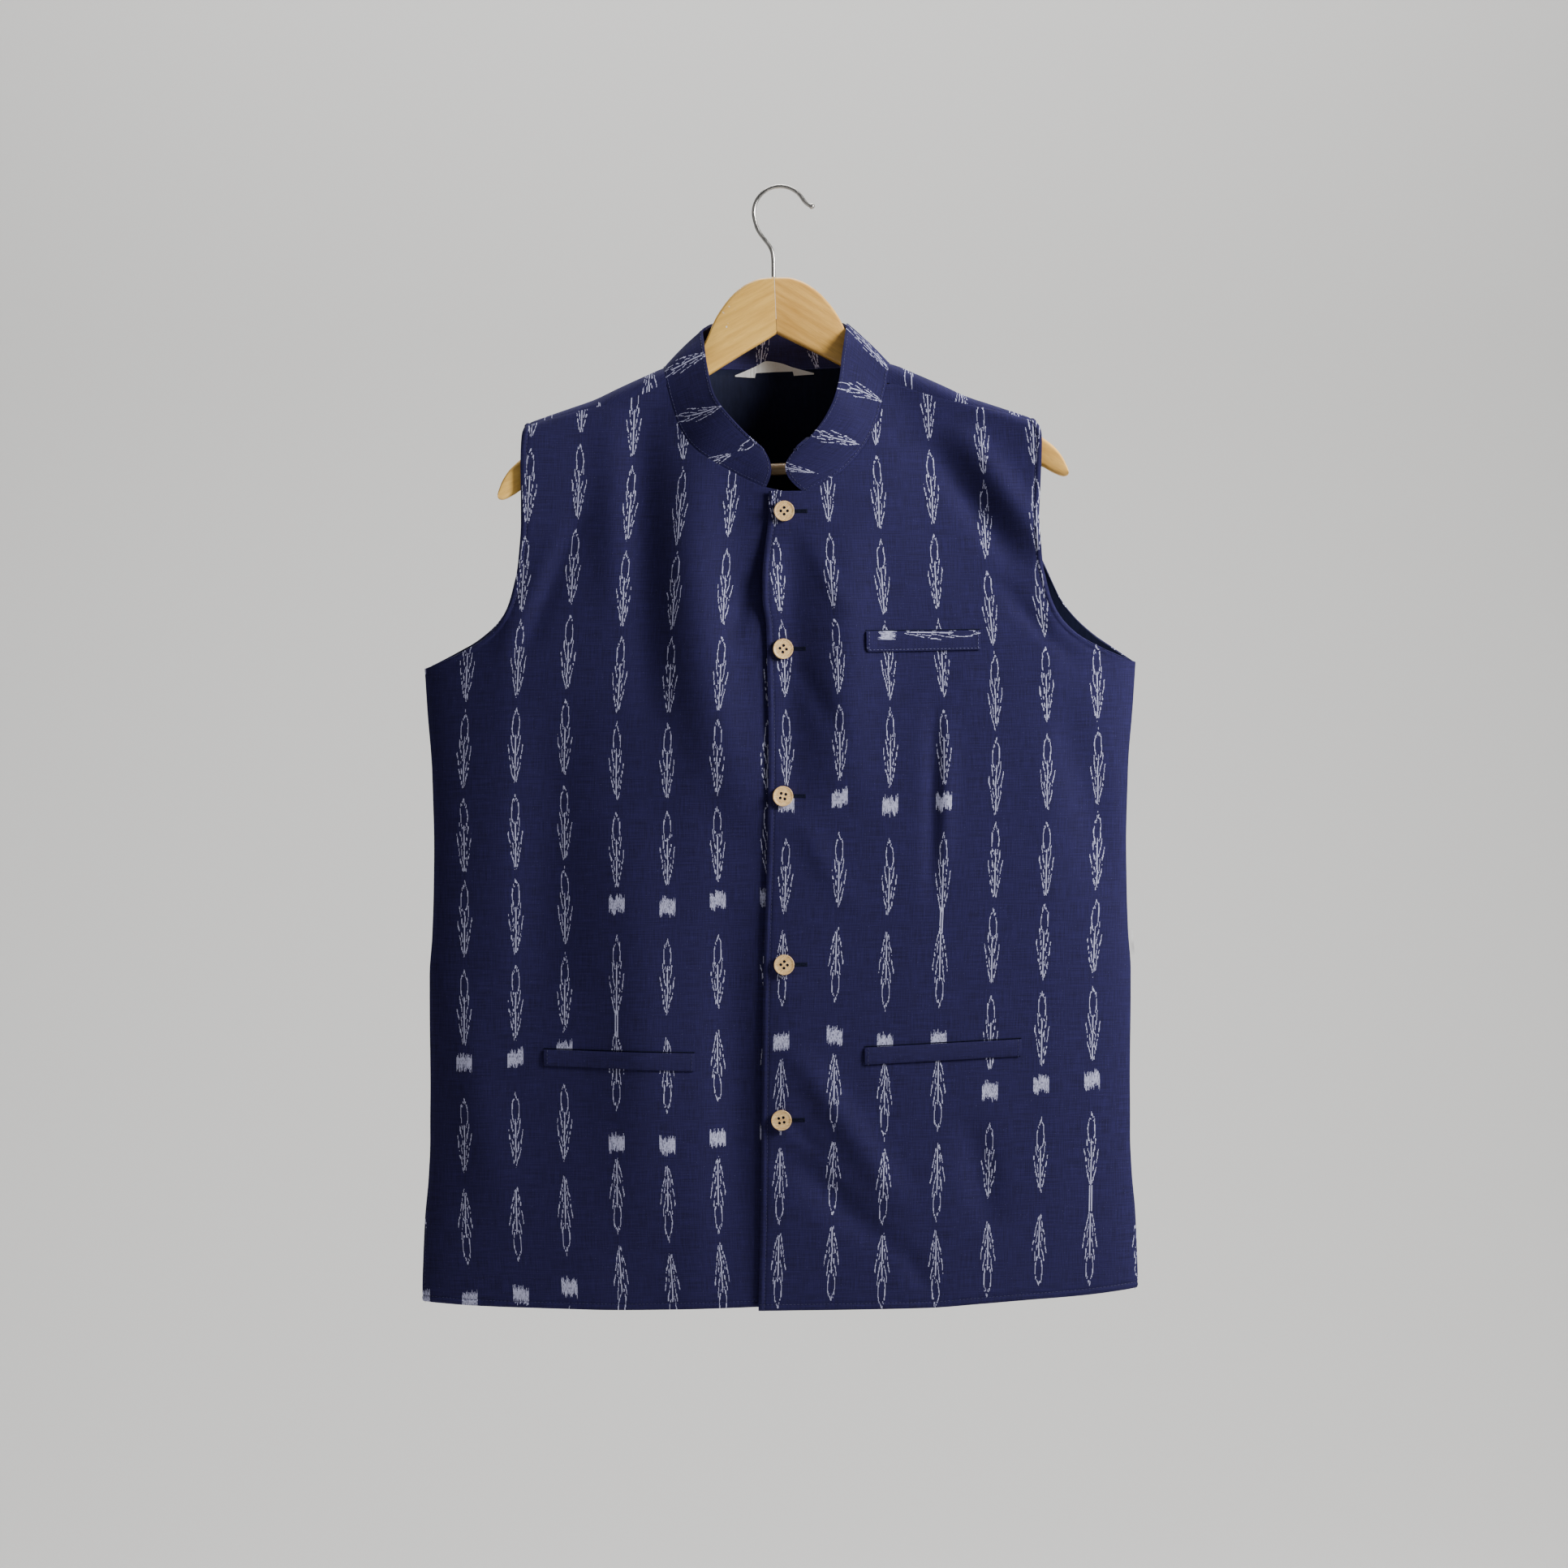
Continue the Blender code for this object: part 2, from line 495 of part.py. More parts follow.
def wall(name, spots, near, far, finish, keep=None):
    """A closed wall of cloth between two depths under a grid of spots."""
    cells = {(r, c) for r in range(len(spots) - 1) for c in range(len(spots[0]) - 1)
             if keep is None or keep(r, c)}
    mesh = bmesh.new()
    skins = ({}, {})
    for r, c in sorted(cells):
        for corner in ((r, c), (r, c + 1), (r + 1, c + 1), (r + 1, c)):
            if corner not in skins[0]:
                here = spots[corner[0]][corner[1]]
                skins[0][corner] = mesh.verts.new(here.point - here.normal * near)
                skins[1][corner] = mesh.verts.new(here.point - here.normal * far)
    neighbours = (((-1, 0), (0, 0), (0, 1)), ((0, 1), (0, 1), (1, 1)),
                  ((1, 0), (1, 1), (1, 0)), ((0, -1), (1, 0), (0, 0)))
    for r, c in sorted(cells):
        for corners in (((r, c), (r, c + 1), (r + 1, c + 1)), ((r, c), (r + 1, c + 1), (r + 1, c))):
            mesh.faces.new([skins[0][corner] for corner in corners])
            mesh.faces.new([skins[1][corner] for corner in reversed(corners)])
        for (down, right), first, second in neighbours:
            if (r + down, c + right) not in cells:
                a = (r + first[0], c + first[1])
                b = (r + second[0], c + second[1])
                mesh.faces.new((skins[0][b], skins[0][a], skins[1][a], skins[1][b]))
    bmesh.ops.recalc_face_normals(mesh, faces=mesh.faces)
    return add_mesh(name, mesh, finish)


def add_mesh(name, mesh, finish, smooth=True):
    """Turn a bmesh into a named object in the jacket's collection."""
    data = bpy.data.meshes.new(name)
    mesh.to_mesh(data)
    mesh.free()
    if smooth:
        data.shade_smooth()
        data.set_sharp_from_angle(angle=math.radians(35))
    return add_object(name, data, finish)


def add_object(name, data, finish):
    thing = bpy.data.objects.new(name, data)
    data.materials.clear()
    data.materials.append(material(finish, name))
    jacket.objects.link(thing)
    return thing


def material(finish, name):
    made = bpy.data.materials.new(finish.name + "_" + name)
    made.use_nodes = True
    shader = made.node_tree.nodes["Principled BSDF"]
    shader.inputs["Base Color"].default_value = finish.colour
    shader.inputs["Roughness"].default_value = finish.roughness
    shader.inputs["Metallic"].default_value = finish.metallic
    made.diffuse_color = finish.colour
    return made


def make_fronts():
    """Both fronts. The wearer's left one laps over the right one and carries the buttonholes."""
    over_lead = [Vector((-8.75, 233.0)) * MM, Vector((5.0, 233.0)) * MM]
    over, over_neck = front_grid(1, NECK_LEFT, over_lead, OVER_EDGE, OVER_HEM)
    over_spots = [[spot(1, p.x, p.y, lift) for p in row] for row in over]
    left = wall("front_left", over_spots, 0.0, FRONT_CLOTH, IKAT)
    under_lead = [Vector(place) * MM for place in UNDER_TOP]
    under, under_neck = front_grid(-1, NECK_RIGHT, under_lead, UNDER_EDGE, UNDER_HEM)
    under_spots = [[spot(1, p.x, p.y, tuck) for p in row] for row in under]
    right = wall("front_right", under_spots, 0.0, FRONT_CLOTH, IKAT)
    neck_end = NECK_CELLS + 1
    return (left, right, over_spots[0][over_neck:over_neck + neck_end],
            under_spots[0][under_neck:under_neck + neck_end])


def back_columns():
    """The back's top edge on the ridge and neckline, left armhole to right armhole as seen."""
    band = Profile([tuple(row) for row in NECK_BACK])
    points = []
    for out in reversed(shoulder_outs(NECK_AT_RIDGE - NECK_X, ARMHOLE_AT_RIDGE)):
        points.append(Vector((-out, ridge(out))))
    for i in range(1, BACK_NECK_CELLS):
        out = -NECK_AT_RIDGE * math.cos(math.pi * i / BACK_NECK_CELLS)
        x = NECK_X + out
        points.append(Vector((x, max(band(abs(out)), ridge(abs(x)) + 0.05 * MM))))
    for out in shoulder_outs(NECK_AT_RIDGE + NECK_X, ARMHOLE_AT_RIDGE):
        points.append(Vector((out, ridge(out))))
    return points


def seam_columns():
    """The x of each of the back's columns where it meets the shoulder seams in front."""
    right = shoulder_outs(SEAM_AT_NECK * MM - NECK_X, ARMHOLE_AT_SEAM)
    left = shoulder_outs(SEAM_AT_NECK * MM + NECK_X, ARMHOLE_AT_SEAM)
    return [-out for out in reversed(right)] + [0.0] * (BACK_NECK_CELLS - 1) + left


def make_back():
    """The back and its lining, which wrap over the shoulders to the seams in front."""
    top = back_columns()
    hem = Profile(BACK_HEM)
    start = [top[0]] + side_edge(BACK_ROWS, "back_right", -1, hem(-SIDE_AT_HEM))
    end = [top[-1]] + side_edge(BACK_ROWS, "back_left", 1, hem(SIDE_AT_HEM))
    span = top[-1].x - top[0].x
    bottom = []
    for point in top:
        share = (point.x - top[0].x) / span
        x = start[-1].x + (end[-1].x - start[-1].x) * share
        bottom.append(Vector((x, hem(x))))
    bottom[0] = start[-1]
    bottom[-1] = end[-1]
    main = [[spot(-1, p.x, p.y) for p in row] for row in patch(top, bottom, start, end)]
    for i, point in enumerate(top):
        if is_shoulder(i):
            main[0][i] = Spot(garment(point.x, 0.0), facing(point.x, 0.0))
    over = []
    for step in range(RIDGE_CELLS, 0, -1):
        row = []
        for point, seam_x in zip(top, seam_columns()):
            share = step / RIDGE_CELLS
            x = point.x * (1 - share) + seam_x * share
            fall = share * (fall_of(shoulder_seam(abs(x))) - SEAM_GAP / 2)
            row.append(Spot(garment(x, fall), facing(x, fall)))
        over.append(row)
    spots = over + main

    def keep(r, c):
        on_neck = SHOULDER_CELLS <= c < SHOULDER_CELLS + BACK_NECK_CELLS
        return r >= RIDGE_CELLS or not on_neck

    back = wall("back", spots, 0.0, BACK_CLOTH, IKAT, keep)
    lining_start = BACK_CLOTH + SEAM_GAP
    lining = wall("back_lining", spots, lining_start, lining_start + LINING_CLOTH, LINING, keep)
    left_neck = SHOULDER_CELLS
    right_neck = left_neck + BACK_NECK_CELLS
    rim = [row[left_neck] for row in spots[:RIDGE_CELLS]]
    rim += spots[RIDGE_CELLS][left_neck:right_neck + 1]
    rim += [row[right_neck] for row in reversed(spots[:RIDGE_CELLS])]
    return lining, rim


def is_shoulder(column):
    return column <= SHOULDER_CELLS or column >= SHOULDER_CELLS + BACK_NECK_CELLS


def collar_tops():
    """The band's top edge, one point for each column of the seam."""
    def corner(row, sign):
        return Vector((NECK_X + sign * row.top_out, row.top_y,
                       ROLL * sign * row.top_out - row.top_drop - TAPE_ZERO))

    def front(rows, sign):
        inner = [row for row in rows if row.out <= SEAM_AT_NECK]
        edge = [corner(row, sign) for row in neckline(inner, NECK_CELLS)]
        past = [corner(row, sign) for row in neckline(rows[len(inner) - 1:], RIDGE_CELLS)]
        return edge, past[1:]

    right_front, right_side = front(NECK_RIGHT, -1)
    left_front, left_side = front(NECK_LEFT, 1)
    back_track = Profile([tuple(row) for row in NECK_BACK])
    back = []
    for i in range(1, BACK_NECK_CELLS):
        out = -NECK_AT_RIDGE * math.cos(math.pi * i / BACK_NECK_CELLS)
        row = BandRow(abs(out), *back_track.row(abs(out)))
        back.append(corner(row, math.copysign(1, out)))
    return (right_front + right_side + back + list(reversed(left_side))
            + list(reversed(left_front)))


def make_collar(left_neck, right_neck, rim):
    """The stand collar, on the neckline points of the fronts and the back."""
    seam = list(right_neck)
    seam[-1] = Spot((seam[-1].point + rim[0].point) / 2, seam[-1].normal)
    seam += rim[1:-1]
    seam += list(reversed(left_neck))
    place = len(seam) - len(left_neck)
    seam[place] = Spot((seam[place].point + rim[-1].point) / 2, seam[place].normal)
    tops = collar_tops()
    grid = []
    for height in BAND_HEIGHTS:
        row = []
        for i, (low, top) in enumerate(zip(seam, tops)):
            before = seam[max(i - 1, 0)].point
            after = seam[min(i + 1, len(seam) - 1)].point
            along = (after - before).normalized()
            inwards = along.cross(low.normal).normalized()
            base = low.point + inwards * COLLAR_GAP
            row.append(base.lerp(top, height))
        grid.append(row)
    spots = []
    for r, row in enumerate(grid):
        line = []
        for c, point in enumerate(row):
            along = row[min(c + 1, len(row) - 1)] - row[max(c - 1, 0)]
            up = grid[min(r + 1, len(grid) - 1)][c] - grid[max(r - 1, 0)][c]
            normal = up.cross(along).normalized() if r else seam[c].normal
            line.append(Spot(point + nose(BAND_HEIGHTS[r], c, len(row) - 1), normal))
        spots.append(line)
    return wall("collar", spots, 0.0, COLLAR_CLOTH, IKAT)


def nose(height, column, last):
    """How far the rounded collar ends swell towards each other, across the front gap."""
    swell = math.sin(math.pi * height)
    from_right = max(1 - column / NOSE_CELLS, 0.0) ** 1.5
    from_left = max(1 - (last - column) / NOSE_CELLS, 0.0) ** 1.5
    shift = NOSE_RIGHT * swell * from_right - NOSE_LEFT * max(swell, 0.0) ** 0.85 * from_left
    return Vector((shift, 0.0, 0.0))


def surface_tree(thing):
    data = thing.data
    points = [vertex.co.copy() for vertex in data.vertices]
    return BVHTree.FromPolygons(points, [tuple(face.vertices) for face in data.polygons])


def settle_on(tree, place, clearance):
    """Move a spot of the smooth garment onto the panel's facets, and out by a clearance."""
    start = place.point + place.normal * 30 * MM
    hit, _, _, _ = tree.ray_cast(start, -place.normal)
    return Spot(hit + place.normal * clearance, place.normal)


def make_welts(left, right):
    for welt, panel, extra in ((CHEST_WELT, left, lift), (HIP_WELT_LEFT, left, lift),
                               (HIP_WELT_RIGHT, right, tuck)):
        tree = surface_tree(panel)
        columns, rows = WELT_CELLS
        grid = []
        for r in range(rows + 1):
            line = []
            for c in range(columns + 1):
                share = c / columns
                x = (welt.x_in * (1 - share) + welt.x_out * share) * MM
                top = (welt.top_in * (1 - share) + welt.top_out * share) * MM
                low = (welt.low_in * (1 - share) + welt.low_out * share) * MM
                drop = top + (low - top) * r / rows
                line.append(settle_on(tree, spot(1, x, drop, extra), TRIM_GAP + TRIM_CLOTH))
            grid.append(line)
        wall(welt.name, grid, 0.0, TRIM_CLOTH, IKAT)


def button_mesh():
    """A turned wooden button with a raised rim and four thread holes."""
    rim = BUTTON_RADIUS
    profile = [(0.0, BUTTON_THICKNESS - BUTTON_DISH),
               (rim - BUTTON_RIM - 0.8 * MM, BUTTON_THICKNESS - BUTTON_DISH),
               (rim - BUTTON_RIM, BUTTON_THICKNESS), (rim - 0.6 * MM, BUTTON_THICKNESS),
               (rim, BUTTON_THICKNESS - 0.9 * MM), (rim, 0.9 * MM), (rim - 1.2 * MM, 0.0),
               (0.0, 0.0)]
    mesh = bmesh.new()
    points = [mesh.verts.new((out, 0.0, height)) for out, height in profile]
    edges = [mesh.edges.new(pair) for pair in zip(points, points[1:])]
    bmesh.ops.spin(mesh, geom=points + edges, axis=(0, 0, 1), cent=(0, 0, 0),
                   angle=2 * math.pi, steps=BUTTON_SIDES, use_merge=True)
    bmesh.ops.remove_doubles(mesh, verts=mesh.verts, dist=0.01 * MM)
    bmesh.ops.recalc_face_normals(mesh, faces=mesh.faces)
    disc = add_mesh("button_blank", mesh, BUTTON_WOOD)
    holes = bmesh.new()
    for x_side in (-1, 1):
        for y_side in (-1, 1):
            made = bmesh.ops.create_cone(holes, cap_ends=True, segments=BUTTON_HOLE_SIDES,
                                         radius1=BUTTON_HOLE, radius2=BUTTON_HOLE,
                                         depth=4 * BUTTON_THICKNESS)
            shift = Vector((x_side, y_side, 0.0)) * BUTTON_HOLE_OFFSET
            bmesh.ops.translate(holes, verts=made["verts"], vec=shift)
    cutter_data = bpy.data.meshes.new("button_holes")
    holes.to_mesh(cutter_data)
    holes.free()
    cutter = bpy.data.objects.new("button_holes", cutter_data)
    cutter.hide_render = True
    cutter.display_type = "WIRE"
    cutters.objects.link(cutter)
    cut = disc.modifiers.new("thread_holes", "BOOLEAN")
    cut.operation = "DIFFERENCE"
    cut.object = cutter
    bpy.context.view_layer.update()
    graph = bpy.context.evaluated_depsgraph_get()
    drilled = bpy.data.meshes.new_from_object(disc.evaluated_get(graph))
    bpy.data.objects.remove(disc)
    return drilled


def make_buttons(panel):
    drilled = button_mesh()
    tree = surface_tree(panel)
    for number, place in enumerate(BUTTONS, start=1):
        base = settle_on(tree, spot(1, place.x * MM, place.drop * MM, lift), BUTTON_SHANK)
        button = add_object("button_%d" % number, drilled.copy(), BUTTON_WOOD)
        button.rotation_mode = "QUATERNION"
        turn = Quaternion((0.0, 0.0, 1.0), math.radians(place.turn))
        button.rotation_quaternion = base.normal.to_track_quat("Z", "Y") @ turn
        button.location = base.point


def make_neck_label(collar, lining):
    """A blank satin label that arches over the seam of collar and lining behind the neck."""
    trees = (surface_tree(collar), surface_tree(lining))
    inwards = Vector((0.0, 1.0, 0.0))
    columns = []
    for row in NECK_LABEL:
        top = Vector((row.x, 0.0, ROLL * row.x - row.top)) * MM - Vector((0.0, 0.0, TAPE_ZERO))
        low = top - Vector((0.0, 0.0, row.low - row.top)) * MM
        starts = [top.lerp(low, i / NECK_LABEL_LEVELS) for i in range(NECK_LABEL_LEVELS + 1)]
        hits = [tree.ray_cast(start, inwards)[0] for tree in trees for start in starts]
        top.y = low.y = min(hit.y for hit in hits if hit) - TRIM_GAP
        columns.append((Spot(top, inwards), Spot(low, inwards)))
    wall("neck_label", list(zip(*columns)), 0.0, LABEL_CLOTH, SATIN)


def make_side_label():
    """A blank care label that stands out of the viewer's right side seam."""
    grid = []
    for i in range(3):
        drop = SIDE_LABEL_TOP + (SIDE_LABEL_LOW - SIDE_LABEL_TOP) * i / 2
        seam = garment(side_seam(drop), fall_of(drop - ridge(side_seam(drop))))
        line = []
        for out in (SEAM_GAP * 1.5, SEAM_GAP * 1.5 + SIDE_LABEL_OUT):
            line.append(Spot(seam + Vector((out, SEAM_GAP, 0.0)), Vector((0.0, 1.0, 0.0))))
        grid.append(line)
    wall("side_label", grid, 0.0, LABEL_CLOTH, SATIN)


def make_hanger_arm(name, sign):
    """Half of the hanger: a wooden arm with rounded edges, lofted along its bow."""
    mesh = bmesh.new()
    rings = []
    for row in HANGER_ARM:
        out = max(row.out * MM, HANGER_MITRE / 2)
        top = HANGER_LEVEL - row.top * MM
        low = HANGER_LEVEL - row.low * MM
        thin = ease((row.out - 120.0) / 70.0)
        half = (HANGER_THICKNESS * (1 - thin) + HANGER_TIP_THICKNESS * thin) / 2
        edge = min(HANGER_EDGE, (top - low) * 0.42)
        bow = -ARM_BOW * (out / ARM_REACH) ** 2
        ring = []
        for side_sign, level, quarter in ((-1, top, 0), (1, top, 1), (1, low, 2), (-1, low, 3)):
            for turn in (0, 1, 2):
                angle = math.radians(180 - 90 * quarter - 45 * turn)
                y = side_sign * (half - edge) + edge * math.cos(angle)
                z = level - math.copysign(edge, level - (top + low) / 2) + edge * math.sin(angle)
                ring.append(mesh.verts.new((sign * out, bow + y, z)))
        rings.append(ring)
    for before, after in zip(rings, rings[1:]):
        for i in range(len(before)):
            j = (i + 1) % len(before)
            mesh.faces.new((before[i], before[j], after[j], after[i]))
    mesh.faces.new(rings[0])
    mesh.faces.new(list(reversed(rings[-1])))
    bmesh.ops.recalc_face_normals(mesh, faces=mesh.faces)
    arm = add_mesh(name, mesh, HANGER_WOOD)
    arm.parent = hanger
    return arm


def make_bar():
    mesh = bmesh.new()
    bmesh.ops.create_cone(mesh, cap_ends=True, segments=BAR_SIDES, radius1=BAR_RADIUS,
                          radius2=BAR_RADIUS, depth=2 * BAR_HALF)
    bar = add_mesh("hanger_bar", mesh, HANGER_WOOD)
    bar.parent = hanger
    bar.rotation_euler = (0.0, math.pi / 2, 0.0)
    bar.location = (0.0, BAR_Y, HANGER_LEVEL - BAR_DROP)


def make_hook():
    """The steel wire hook, from its seat in the hanger to its turned-out tip."""
    points = [Vector((place.x * MM, 0.0, -place.drop * MM - TAPE_ZERO)) for place in HOOK_STEM]
    centre = Vector((0.0, 0.0, HOOK_WIRE - HOOK_RADIUS))
    for i in range(HOOK_STEPS + 1):
        angle = HOOK_START + (HOOK_END - HOOK_START) * i / HOOK_STEPS
        points.append(centre + Vector((math.cos(angle), 0.0, math.sin(angle))) * HOOK_RADIUS)
    points += [Vector((place.x * MM, 0.0, -place.drop * MM - TAPE_ZERO)) for place in HOOK_TIP]
    seat = Vector((points[0].x, 0.0, -HANGER_LEVEL - TAPE_ZERO + HOOK_SEAT_GAP))
    points[0] = seat
    wire = bpy.data.curves.new("hanger_hook", "CURVE")
    wire.dimensions = "3D"
    wire.bevel_depth = HOOK_WIRE
    wire.bevel_resolution = 2
    wire.use_fill_caps = True
    line = wire.splines.new("POLY")
    line.points.add(len(points) - 1)
    for slot, point in zip(line.points, points):
        slot.co = (point.x, point.y, point.z, 1.0)
    add_object("hanger_hook", wire, STEEL)


for old in list(bpy.data.objects):
    bpy.data.objects.remove(old, do_unlink=True)
jacket = bpy.data.collections.new("nehru_jacket")
cutters = bpy.data.collections.new("cutters")
bpy.context.scene.collection.children.link(jacket)
bpy.context.scene.collection.children.link(cutters)

hanger = bpy.data.objects.new("hanger_frame", None)
hanger.location = (HANGER_X, 0.0, -HANGER_LEVEL - TAPE_ZERO)
hanger.rotation_euler = (0.0, HANGER_ROLL, 0.0)
jacket.objects.link(hanger)

front_left, front_right, left_neck, right_neck = make_fronts()
back_lining, neck_rim = make_back()
collar = make_collar(left_neck, right_neck, neck_rim)
make_welts(front_left, front_right)
make_buttons(front_left)
make_neck_label(collar, back_lining)
make_side_label()
make_hanger_arm("hanger_left", 1)
make_hanger_arm("hanger_right", -1)
make_bar()
make_hook()
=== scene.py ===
"""The looks of a sleeveless nehru jacket of ikat cotton that hangs on a wooden hanger.

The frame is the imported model's: +X to the viewer's right, +Y away from the viewer, +Z up, and
the origin at the inner crest of the hanger's hook. Left and right are the wearer's. Tables and
patterns are in millimetres, which MM turns into the metres that everything else is in.
"""
import math
from collections import namedtuple

import bpy
from mathutils import Matrix, Quaternion, Vector, noise
from mathutils.bvhtree import BVHTree
from mathutils.kdtree import KDTree


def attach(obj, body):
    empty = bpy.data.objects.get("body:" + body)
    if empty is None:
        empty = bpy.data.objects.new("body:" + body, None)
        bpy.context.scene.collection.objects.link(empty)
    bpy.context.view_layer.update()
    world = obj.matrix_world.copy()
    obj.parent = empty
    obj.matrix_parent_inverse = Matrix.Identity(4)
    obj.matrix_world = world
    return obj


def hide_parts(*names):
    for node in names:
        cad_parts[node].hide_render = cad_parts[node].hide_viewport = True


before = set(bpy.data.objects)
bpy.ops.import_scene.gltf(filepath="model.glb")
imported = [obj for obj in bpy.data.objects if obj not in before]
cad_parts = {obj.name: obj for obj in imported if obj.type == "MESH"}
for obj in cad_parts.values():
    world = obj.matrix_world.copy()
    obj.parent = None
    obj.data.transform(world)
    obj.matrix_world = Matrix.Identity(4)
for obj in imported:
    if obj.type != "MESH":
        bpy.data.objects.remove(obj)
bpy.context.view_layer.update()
MM = 0.001


# The hook
# One steel wire, bent into a swan neck so that its crest hangs over the hanger's middle, with a
# small ball at its tip. It turns in a hole in the real hanger and is fixed here.
HOOK_WIRE = 1.6 * MM
HOOK_RADIUS = 20.6 * MM
HOOK_STEM = ((-5.2, -68.9), (-5.2, -60.0), (-5.3, -51.5), (-7.4, -45.5), (-12.5, -39.4), (-18.0, -32.4))
HOOK_TIP = ((20.4, -11.8), (22.6, -13.4), (24.6, -13.9))
HOOK_BALL = 2.3 * MM
HOOK_START = 188.0        # degrees round the bend at which the stem runs into it
HOOK_SWEEP = 160.0
HOOK_STEPS = 24


def new_finish(name, colour, roughness):
    """A material whose plain Principled shader is ready for its nodes."""
    made = bpy.data.materials.new(name)
    made.use_nodes = True
    shader = made.node_tree.nodes["Principled BSDF"]
    shader.inputs["Base Color"].default_value = (*colour, 1.0)
    shader.inputs["Roughness"].default_value = roughness
    return made, made.node_tree, shader


class Signal:
    """A value in a shader. Plain arithmetic on it adds Math nodes to the shader's tree."""

    def __init__(self, socket):
        self.socket = socket
        self.tree = socket.node.id_data

    def math(self, operation, *others):
        return calc(self.tree, operation, self, *others)

    def __add__(self, other):
        return self.math("ADD", other)

    def __sub__(self, other):
        return self.math("SUBTRACT", other)

    def __rsub__(self, other):
        return calc(self.tree, "SUBTRACT", other, self)

    def __mul__(self, other):
        return self.math("MULTIPLY", other)

    def __truediv__(self, other):
        return self.math("DIVIDE", other)

    def __gt__(self, other):
        return self.math("GREATER_THAN", other)

    def __lt__(self, other):
        return self.math("LESS_THAN", other)


def wire(value, socket):
    """Feed a socket from a signal, or give it a plain value."""
    if isinstance(value, Signal):
        value.tree.links.new(value.socket, socket)
    else:
        socket.default_value = value


def calc(tree, operation, *values):
    """One Math node."""
    made = tree.nodes.new("ShaderNodeMath")
    made.operation = operation
    for value, socket in zip(values, made.inputs):
        wire(value, socket)
    return Signal(made.outputs[0])


def grain(source, scale, detail, stretch=(1.0, 1.0, 1.0), turn=(0.0, 0.0, 0.0)):
    """Noise on a turned and then stretched copy of the source coordinates."""
    turned = source.tree.nodes.new("ShaderNodeMapping")
    turned.inputs["Rotation"].default_value = turn
    wire(source, turned.inputs["Vector"])
    mapping = source.tree.nodes.new("ShaderNodeMapping")
    mapping.inputs["Scale"].default_value = stretch
    wire(Signal(turned.outputs[0]), mapping.inputs["Vector"])
    texture = source.tree.nodes.new("ShaderNodeTexNoise")
    texture.inputs["Scale"].default_value = scale
    texture.inputs["Detail"].default_value = detail
    wire(Signal(mapping.outputs[0]), texture.inputs["Vector"])
    return Signal(texture.outputs["Fac"])


def blend_of(share, first, second):
    """Two colours, mixed by a share."""
    made = share.tree.nodes.new("ShaderNodeMix")
    made.data_type = "RGBA"
    wire(share, made.inputs[0])
    for value, socket in ((first, made.inputs[6]), (second, made.inputs[7])):
        wire(value if isinstance(value, Signal) else (*value, 1.0), socket)
    return Signal(made.outputs[2])


def between(value, low, high, to_low=0.0, to_high=1.0):
    """A value carried from one range to another, and held at its ends."""
    made = value.tree.nodes.new("ShaderNodeMapRange")
    for name, number in (("From Min", low), ("From Max", high), ("To Min", to_low), ("To Max", to_high)):
        made.inputs[name].default_value = number
    wire(value, made.inputs["Value"])
    return Signal(made.outputs[0])


def raise_by(shader, height, strength, distance):
    """Bump under a shader from a height."""
    bump = height.tree.nodes.new("ShaderNodeBump")
    bump.inputs["Strength"].default_value = strength
    bump.inputs["Distance"].default_value = distance
    wire(height, bump.inputs["Height"])
    wire(Signal(bump.outputs[0]), shader.inputs["Normal"])


def object_place(tree):
    return Signal(tree.nodes.new("ShaderNodeTexCoord").outputs["Object"])


def pick_only(piece):
    bpy.ops.object.select_all(action="DESELECT")
    piece.select_set(True)
    bpy.context.view_layer.objects.active = piece


def finish_piece(piece, name, finishes, replaces=(), angle=35):
    """Name a piece, smooth it, give it its materials and put it on the one body."""
    pick_only(piece)
    bpy.ops.object.transform_apply(location=True, rotation=True, scale=True)
    bpy.ops.object.shade_smooth_by_angle(angle=math.radians(angle))
    piece.name = name
    piece.data.name = name
    indices = [face.material_index for face in piece.data.polygons]
    piece.data.materials.clear()
    for finish in finishes:
        piece.data.materials.append(finish)
    for face, index in zip(piece.data.polygons, indices):
        face.material_index = min(index, len(finishes) - 1)
    if replaces:
        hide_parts(*replaces)
    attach(piece, "root")
    return piece


steel, tree, shader = new_finish("hook_steel_finish", (0.52, 0.5, 0.47), 0.26)
shader.inputs["Metallic"].default_value = 1.0
draw_marks = grain(object_place(tree), 900.0, 3.0, stretch=(1.0, 1.0, 0.12))
wire(between(draw_marks, 0.3, 0.7, 0.2, 0.4), shader.inputs["Roughness"])
raise_by(shader, draw_marks, 0.15, 0.0002)

bpy.ops.object.select_all(action="DESELECT")
bpy.ops.curve.primitive_nurbs_path_add()
hook = bpy.context.object
path = [Vector((x, 0.0, z)) * MM for x, z in HOOK_STEM]
for step in range(HOOK_STEPS + 1):
    angle = math.radians(HOOK_START - HOOK_SWEEP * step / HOOK_STEPS)
    path.append(Vector((math.cos(angle) * HOOK_RADIUS, 0.0,
                        math.sin(angle) * HOOK_RADIUS + HOOK_WIRE - HOOK_RADIUS)))
path += [Vector((x, 0.0, z)) * MM for x, z in HOOK_TIP]
spline = hook.data.splines[0]
spline.points.add(len(path) - len(spline.points))
for point, place in zip(spline.points, path):
    point.co = (*place, 1.0)
spline.use_endpoint_u = True
spline.order_u = 4
spline.resolution_u = 5
hook.data.dimensions = "3D"
hook.data.bevel_depth = HOOK_WIRE
hook.data.bevel_resolution = 5
hook.data.use_fill_caps = True
bpy.ops.object.convert(target="MESH")
hook = bpy.context.object
